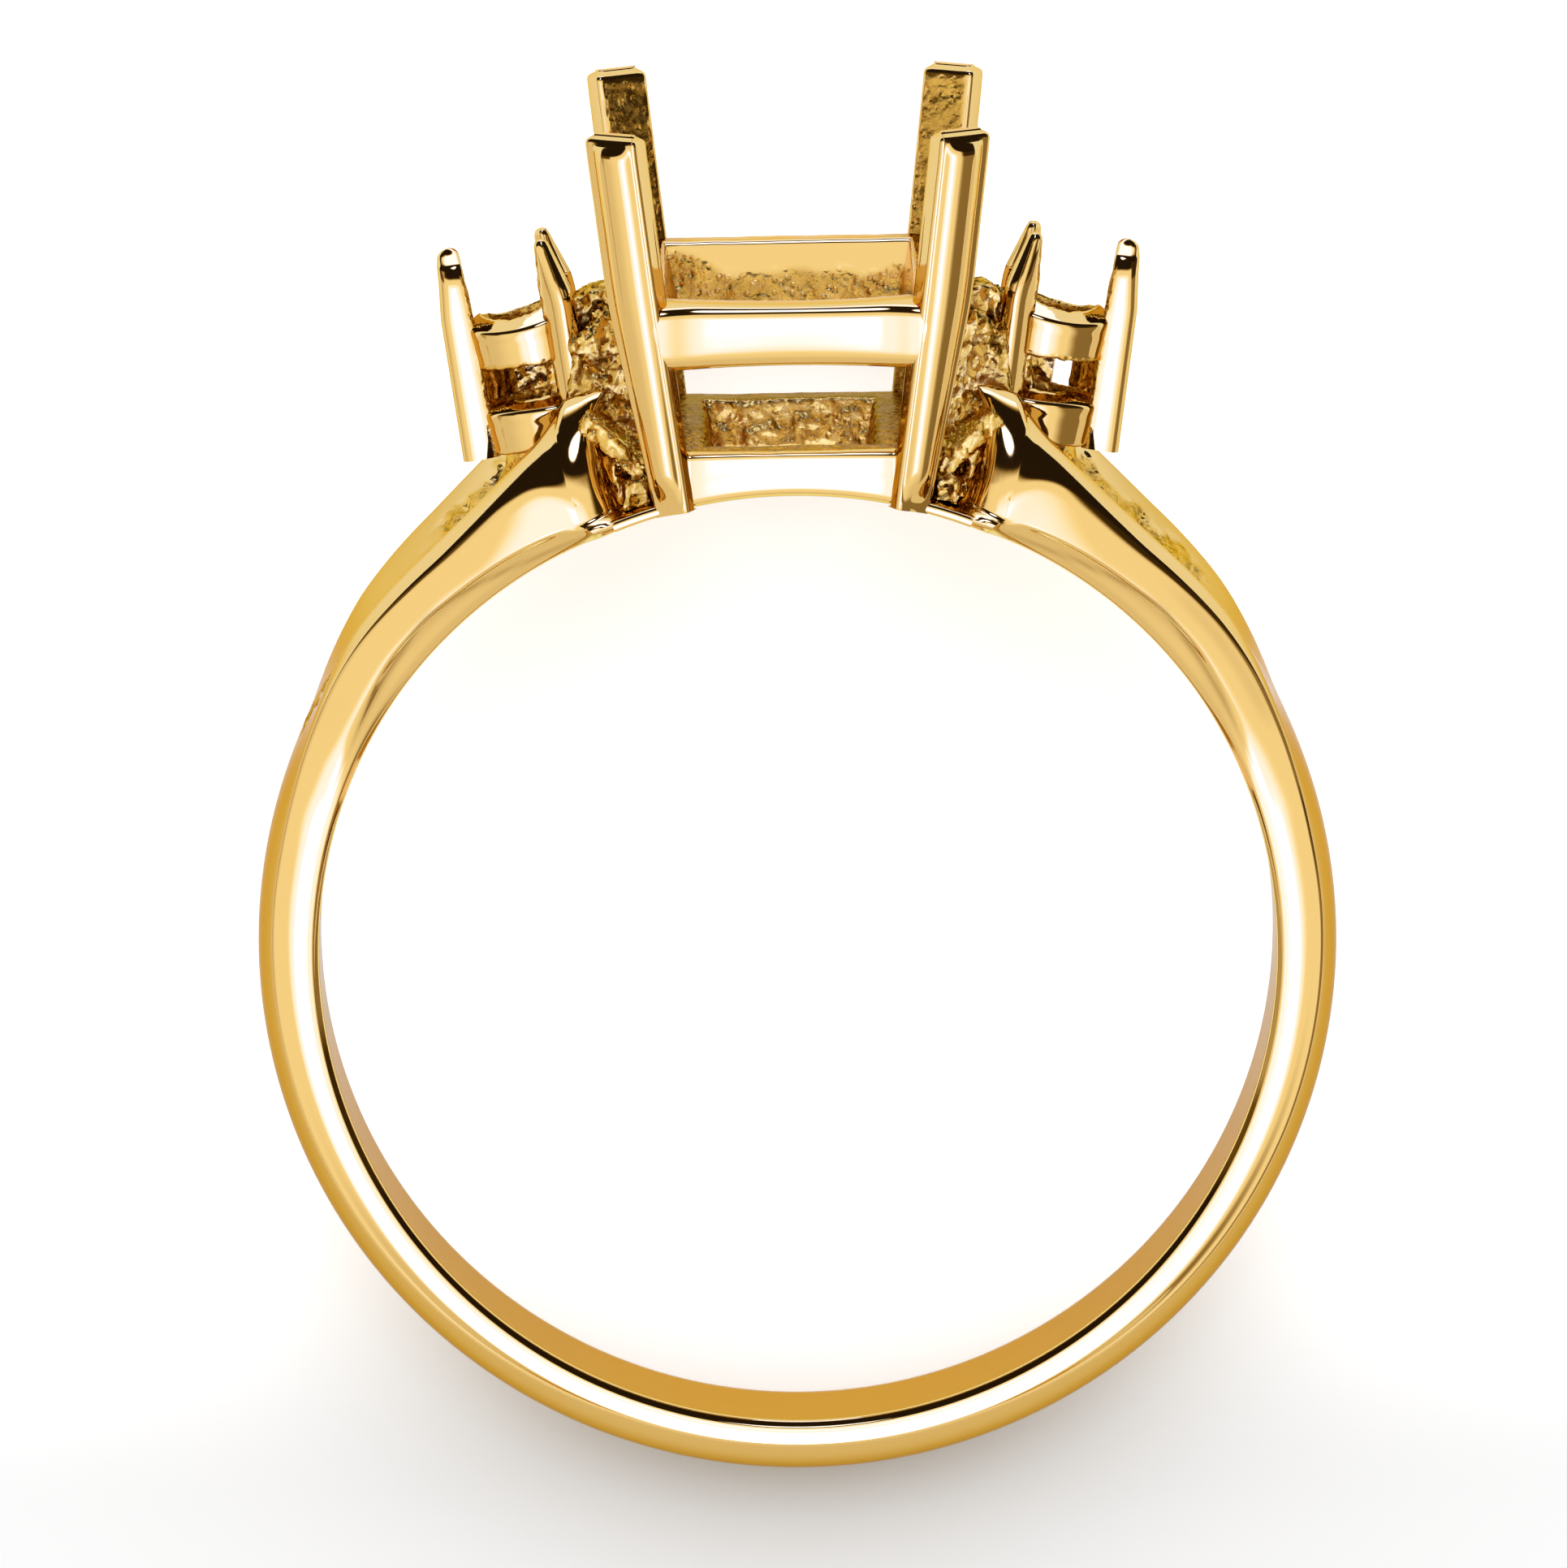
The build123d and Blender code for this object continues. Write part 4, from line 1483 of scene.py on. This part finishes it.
@dataclass
class Castings:
    """The as cast metal that joins the heads to the shoulders and to each other."""

    workshop: Workshop
    seed: float = 60.0
    voxel_mm: float = 0.055
    broad_mm: float = 0.07
    streak_mm: float = 0.055
    fine_mm: float = 0.02
    crack_mm: float = 0.07
    rim_angles: tuple = (68.5, 77.5, 0.6)
    rim_half: float = 3.06
    rim_rise: float = 0.20
    blocks: tuple = (
        (((2.3, 8.3), (3.9, 8.0), (4.45, 9.0), (4.1, 9.7), (3.5, 9.4), (2.4, 9.3)), -1.7, 1.7),
        (((2.55, 8.45), (2.98, 8.4), (3.0, 8.88), (2.55, 9.0)), -2.62, 2.62),
        (((3.05, 8.3), (3.5, 8.1), (3.6, 9.2), (3.2, 9.4)), -2.2, 2.2),
        (((2.55, 9.1), (2.85, 8.95), (3.85, 9.85), (3.62, 10.15)), -2.5, 2.5),
        (
            (
                (2.5, 9.4), (3.6, 9.5), (4.35, 9.6), (4.35, 11.2), (4.05, 11.75), (3.5, 12.05),
                (2.6, 11.9),
            ),
            -0.5,
            0.5,
        ),
        (((2.7, 9.4), (4.0, 9.7), (3.9, 11.2), (3.35, 11.7), (2.8, 11.5)), -1.12, -0.82),
        (((2.7, 9.4), (4.0, 9.7), (3.9, 11.2), (3.35, 11.7), (2.8, 11.5)), 0.82, 1.12),
    )

    def prism(self, corners: Sequence[Sequence[float]], front: float, back: float) -> Draft:
        """A plain block over an outline seen from the front.

        Args:
            corners: The outline's corners, across and up.
            front: Where its front face stands.
            back: Where its back face stands.

        Returns:
            The block, on the right side of the ring.
        """
        outline = np.array(corners, float)
        rows = [
            np.stack((outline[:, 0], np.full(len(outline), depth), outline[:, 1]), axis=-1)
            for depth in np.linspace(front, back, 3)
        ]
        return Draft().add_shell(np.array(rows), 1.0)

    def roughened(self, coarse: Draft, seed: float) -> bpy.types.Mesh:
        """Join coarse blocks into one skin and roughen it as casting leaves it.

        Args:
            coarse: The blocks, which may overlap.
            seed: Where the casting marks are read.

        Returns:
            The skin as a mesh in the ring's millimetres.
        """
        settings = {"mode": "VOXEL", "voxel_size": self.voxel_mm}
        mesh = applied(coarse.to_mesh("coarse"), "REMESH", settings, {})
        places = vertex_places(mesh)
        normals = np.zeros(places.size)
        mesh.vertex_normals.foreach_get("vector", normals)
        drawn = places * np.array((1.0, 1.0, 0.4))
        broad = cast_noise(places, 0.7, seed) * self.broad_mm
        streaks = cast_noise(drawn, 0.26, seed + 3.0) * self.streak_mm
        fine = cast_noise(drawn, 0.10, seed + 7.0) * self.fine_mm
        folds = np.abs(cast_noise(drawn, 0.5, seed + 12.0))
        cracks = self.crack_mm * (1.0 - smooth_step(folds, 0.0, 0.12))
        places += normals.reshape(-1, 3) * (broad + streaks + fine - cracks)[:, None]
        clear_hole(places, self.workshop.frame.hole_radius)
        mesh.vertices.foreach_set("co", places.ravel())
        mesh.update()
        return mesh

    def rim(self) -> Draft:
        """The thin rim along the finger hole, from a leg's end on to the centre head.

        Returns:
            The rim, on the right side of the ring.
        """
        hole = self.workshop.frame.hole_radius
        top, half = hole + self.rim_rise, self.rim_half
        angles = np.arange(*self.rim_angles)
        nodes = np.array(
            (
                (0.0, hole, -90.0),
                (-(half - 0.08), hole, -90.0),
                (-half, hole + 0.07, 0.0),
                (-half, hole + 0.12, 0.0),
                (-(half - 0.08), top, 88.0),
                (0.0, top, 90.0),
            )
        )
        loop = both_halves(trace(nodes, (14, 4, 1, 4, 18)))
        turn = np.radians(angles)[:, None]
        x = loop[:, 1] * np.cos(turn)
        z = loop[:, 1] * np.sin(turn)
        y = np.repeat(loop[None, :, 0], len(angles), axis=0)
        return Draft().add_shell(np.stack((x, y, z), axis=-1))

    def build(self) -> None:
        """Make the bridges, webs and rims of both sides."""
        for side in Side:
            rough = Draft()
            for corners, front, back in self.blocks:
                rough.add_copy(self.prism(corners, front, back), side.matrix)
            mesh = self.roughened(rough, self.seed + 11 * side.value)
            self.workshop.finish(mesh, f"{side.label}_castings", self.workshop.as_cast)
            rim = Draft().add_copy(self.rim(), side.matrix)
            self.workshop.finish(rim.to_mesh(side.label), f"{side.label}_rim")


# Studio


@dataclass(frozen=True)
class PhotoView:
    """The photograph's camera, in the ring's frame."""

    elevation: float = 0.184076152
    azimuth: float = -0.00373065952
    roll: float = -0.0136857141
    distance_mm: float = 347.751498
    pixels_per_mm: float = 68.0553317
    target_mm: tuple[float, float, float] = (-0.215494329, 0.0, 2.86847299)
    photo_width: int = 1930
    sensor_mm: float = 36.0

    def build(self, frame: RingFrame) -> bpy.types.Object:
        """Make the camera and set it as the scene's camera.

        Args:
            frame: The ring's frame.

        Returns:
            The camera object.
        """
        turn, rise = self.azimuth, self.elevation
        back = Vector(
            (math.sin(turn) * math.cos(rise), -math.cos(turn) * math.cos(rise), math.sin(rise))
        )
        right = Vector((math.cos(turn), math.sin(turn), 0.0))
        up = back.cross(right).normalized()
        across = math.cos(self.roll) * right + math.sin(self.roll) * up
        upward = -math.sin(self.roll) * right + math.cos(self.roll) * up
        place = frame.point(Vector(self.target_mm) + self.distance_mm * back)
        axes = [frame.direction(axis) for axis in (across, upward, back)]
        data = bpy.data.cameras.new("photo_camera")
        data.sensor_fit = "HORIZONTAL"
        data.sensor_width = self.sensor_mm
        data.lens = self.pixels_per_mm * self.distance_mm * self.sensor_mm / self.photo_width
        data.clip_start = 0.01
        data.clip_end = 10.0
        camera = bpy.data.objects.new("photo_camera", data)
        camera.matrix_world = Matrix.Translation(place) @ Matrix(axes).transposed().to_4x4()
        bpy.context.scene.collection.objects.link(camera)
        bpy.context.scene.camera = camera
        return camera


@dataclass
class Studio:
    """A pale floor with painted glows under a soft studio, whose panels are laid out in the ring's
    frame.

    A panel is its columns and its rows, each as two angles and the softness at both, its level
    and its share. Each tone is a place on the scale of levels, where 1 is the top level, and its
    colour. One round spot stands above the head.
    """

    frame: RingFrame
    floor_half_m: float = 0.6
    # The floor's painted glows: one for the camera, and painted reflections far behind the ring and
    # round the finger hole.
    painted_floor_glow: float = 0.55
    painted_far_reflection: float = 0.6
    painted_hole_reflection: float = 1.6
    fill_low: float = 0.30
    fill_high: float = 2.15
    top_level: float = 4.0
    strength: float = 10.0
    spot_rise: float = 52.0
    spot_level: float = 3.5
    panels: tuple = (
        ((-15, 6, 13, 22), (-34, -3, 8, 16), 2.2, 1.0),
        ((-4, 2, 6, 6), (-32, -6, 6, 8), 3.2, 1.0),
        ((52, 96, 18, 12), (-60, 40, 25, 10), 0.27, 0.92),
        ((52, 96, 14, 12), (2, 50, 10, 10), 0.04, 1.0),
        ((-100, -82, 8, 8), (-40, 60, 20, 10), 0.5, 0.8),
        ((-98, -60, 12, 8), (14, 40, 8, 8), 0.15, 1.0),
        ((-86, 86, 12, 12), (31, 79, 9, 6), 0.01, 1.0),
        ((-60, 60, 20, 20), (87, 100, 5, 3), 2.6, 1.0),
    )
    tones: tuple = (
        (0.0, (0.013, 0.009, 0.010)),
        (0.0375, (0.16, 0.105, 0.03)),
        (0.125, (0.515, 0.43, 0.28)),
        (0.25, (1.0, 1.0, 1.0)),
        (0.325, (1.31, 1.37, 1.46)),
        (0.40, (1.38, 1.65, 2.65)),
        (0.50, (1.45, 1.85, 4.0)),
        (0.625, (1.6, 2.05, 5.4)),
        (0.75, (2.0, 2.6, 7.0)),
        (1.0, (3.0, 4.0, 9.0)),
    )

    def floor(self) -> bpy.types.Object:
        """Make the floor: a pale surface with a painted glow for the camera and painted reflections
        for the gold.

        Returns:
            The floor.
        """
        half = self.floor_half_m
        mesh = bpy.data.meshes.new("floor")
        corners = [(-half, -half, 0.0), (half, -half, 0.0), (half, half, 0.0), (-half, half, 0.0)]
        mesh.from_pydata(corners, [], [(0, 1, 2, 3)])
        floor = bpy.data.objects.new("floor", mesh)
        bpy.context.scene.collection.objects.link(floor)
        made = bpy.data.materials.new("pale_floor_painted_glow")
        made.use_nodes = True
        made.node_tree.nodes.clear()
        sketch = Sketch(made.node_tree)
        diffuse = sketch.node("ShaderNodeBsdfDiffuse", {"Color": (0.9, 0.9, 0.9, 1.0)})
        place = sketch.node("ShaderNodeTexCoord").outputs["Object"]
        along = sketch.node("ShaderNodeSeparateXYZ", {0: place}).outputs["Y"]
        reach = sketch.vector("DISTANCE", place, (0.0, -0.003, 0.0)).outputs["Value"]
        rays = sketch.node("ShaderNodeLightPath")
        # Painted glow that only the camera sees: it brightens the floor past its shade, and fades out
        # below the ring where the shadow is kept.
        painted_glow_fade = sketch.soft(along, -0.0135, -0.006, 0.0, self.painted_floor_glow)
        painted_camera_glow_strength = sketch.math("MULTIPLY", rays.outputs["Is Camera Ray"], painted_glow_fade)
        # Painted reflections: the floor glows bluish only for glossy rays, far behind the ring and
        # round the finger hole, so the gold shows light where no lamp is.
        far = sketch.soft(along, 0.0005, 0.005, 0.0, self.painted_far_reflection)
        near = sketch.soft(reach, 0.0045, 0.0075, self.painted_hole_reflection, 0.0)
        painted_reflection_glows = sketch.math("ADD", far, near)
        painted_reflection_strength = sketch.math("MULTIPLY", rays.outputs["Is Glossy Ray"], painted_reflection_glows)
        painted_camera_glow = sketch.node("ShaderNodeEmission", {"Strength": painted_camera_glow_strength})
        painted_reflection_tint = (0.27, 0.50, 1.0, 1.0)
        painted_reflection = sketch.node("ShaderNodeEmission", {"Color": painted_reflection_tint, "Strength": painted_reflection_strength})
        painted_glows = sketch.node("ShaderNodeAddShader", {0: painted_camera_glow.outputs[0], 1: painted_reflection.outputs[0]})
        both = sketch.node("ShaderNodeAddShader", {0: diffuse.outputs[0], 1: painted_glows.outputs[0]})
        result = sketch.node("ShaderNodeOutputMaterial")
        sketch.feed(result.inputs["Surface"], both.outputs[0])
        mesh.materials.append(made)
        return floor

    def world(self) -> None:
        """Make the soft studio as the world's light."""
        world = bpy.data.worlds.new("studio")
        bpy.context.scene.world = world
        world.use_nodes = True
        world.cycles.sampling_method = "NONE"
        world.node_tree.nodes.clear()
        sketch = Sketch(world.node_tree)
        way = sketch.node("ShaderNodeTexCoord").outputs["Generated"]
        axes = [tuple(self.frame.direction(axis)) for axis in ((1, 0, 0), (0, -1, 0), (0, 0, 1))]
        right, front, up = (
            sketch.vector("DOT_PRODUCT", way, axis).outputs["Value"] for axis in axes
        )
        level = self.light(sketch, right, front, up)
        ramp = sketch.node("ShaderNodeValToRGB", {0: sketch.math("DIVIDE", level, self.top_level)})
        points = ramp.color_ramp.elements
        for index, (place, colour) in enumerate(self.tones):
            point = points[index] if index < 2 else points.new(place)
            point.position = place
            point.color = (*[value / self.strength for value in colour], 1.0)
        inputs = {"Color": ramp.outputs[0], "Strength": self.strength}
        shine = sketch.node("ShaderNodeBackground", inputs)
        soft_fill = sketch.soft(up, -0.4, 0.8, self.fill_low, self.fill_high)
        white = (1.0, 1.0, 1.0, 1.0)
        fill = sketch.node("ShaderNodeBackground", {"Color": white, "Strength": soft_fill})
        dull = sketch.node("ShaderNodeLightPath").outputs["Is Diffuse Ray"]
        mixed = sketch.node("ShaderNodeMixShader", {0: dull, 1: shine.outputs[0], 2: fill.outputs[0]})
        result = sketch.node("ShaderNodeOutputWorld")
        sketch.feed(result.inputs["Surface"], mixed.outputs[0])

    def light(self, sketch: Sketch, right: Any, front: Any, up: Any) -> Any:
        """Level of the studio's light in each direction.

        Args:
            sketch: Where its nodes are drawn.
            right: How far the direction goes to the ring's right.
            front: How far it goes to the ring's front, where the camera is.
            up: How far it goes up in the ring's frame.

        Returns:
            The level, 1 for plain white.
        """
        degrees = 180.0 / math.pi
        polar = sketch.math("MULTIPLY", sketch.math("ARCCOSINE", front), degrees)
        flat = self.length(sketch, right, up)
        spread = sketch.math("DIVIDE", polar, sketch.math("MAXIMUM", flat, 0.0001))
        across = sketch.math("MULTIPLY", right, spread)
        rise = sketch.math("MULTIPLY", up, spread)
        level = sketch.soft(polar, 40.0, 75.0, 1.25, 1.0)

        def window(angle: Any, low: float, high: float, soft_low: float, soft_high: float) -> Any:
            """Mask that is 1 between two angles, with soft edges.

            Args:
                angle: The angle of each direction.
                low: Where the mask starts.
                high: Where it ends.
                soft_low: How wide its first edge is.
                soft_high: How wide its last edge is.

            Returns:
                The mask's socket.
            """
            rising = sketch.soft(angle, low - soft_low, low)
            falling = sketch.soft(angle, high, high + soft_high, 1.0, 0.0)
            return sketch.math("MULTIPLY", rising, falling)

        for columns, rows, value, share in self.panels:
            mask = sketch.math("MULTIPLY", window(across, *columns), window(rise, *rows))
            level = sketch.mix_value(sketch.math("MULTIPLY", mask, share), level, value)
        away = self.length(sketch, across, sketch.math("SUBTRACT", rise, self.spot_rise))
        return sketch.mix_value(sketch.soft(away, 9.0, 12.0, 1.0, 0.0), level, self.spot_level)

    @staticmethod
    def length(sketch: Sketch, across: Any, rise: Any) -> Any:
        """Length of a flat vector."""
        squares = sketch.math("MULTIPLY_ADD", across, across, sketch.math("MULTIPLY", rise, rise))
        return sketch.math("SQRT", squares)

    def build(self) -> None:
        """Make the studio and set how its light is shown."""
        self.world()
        self.floor()
        view = bpy.context.scene.view_settings
        view.view_transform = "Standard"
        view.look = "None"
        view.exposure = 0.0
        view.gamma = 1.0


def main() -> None:
    """Build the ring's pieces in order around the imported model."""
    logging.basicConfig(level=logging.INFO, format="%(name)s: %(message)s")
    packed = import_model()
    frame = RingFrame(packed["record"])
    PhotoView().build(frame)
    Studio(frame).build()
    gold = GoldSurface()
    workshop = Workshop(frame, gold.material(POLISHED), gold.material(AS_CAST))
    Shank(workshop).build()
    CentreHead(workshop).build()
    SideHeads(workshop).build()
    Castings(workshop).build()


if __name__ == "__main__":
    main()
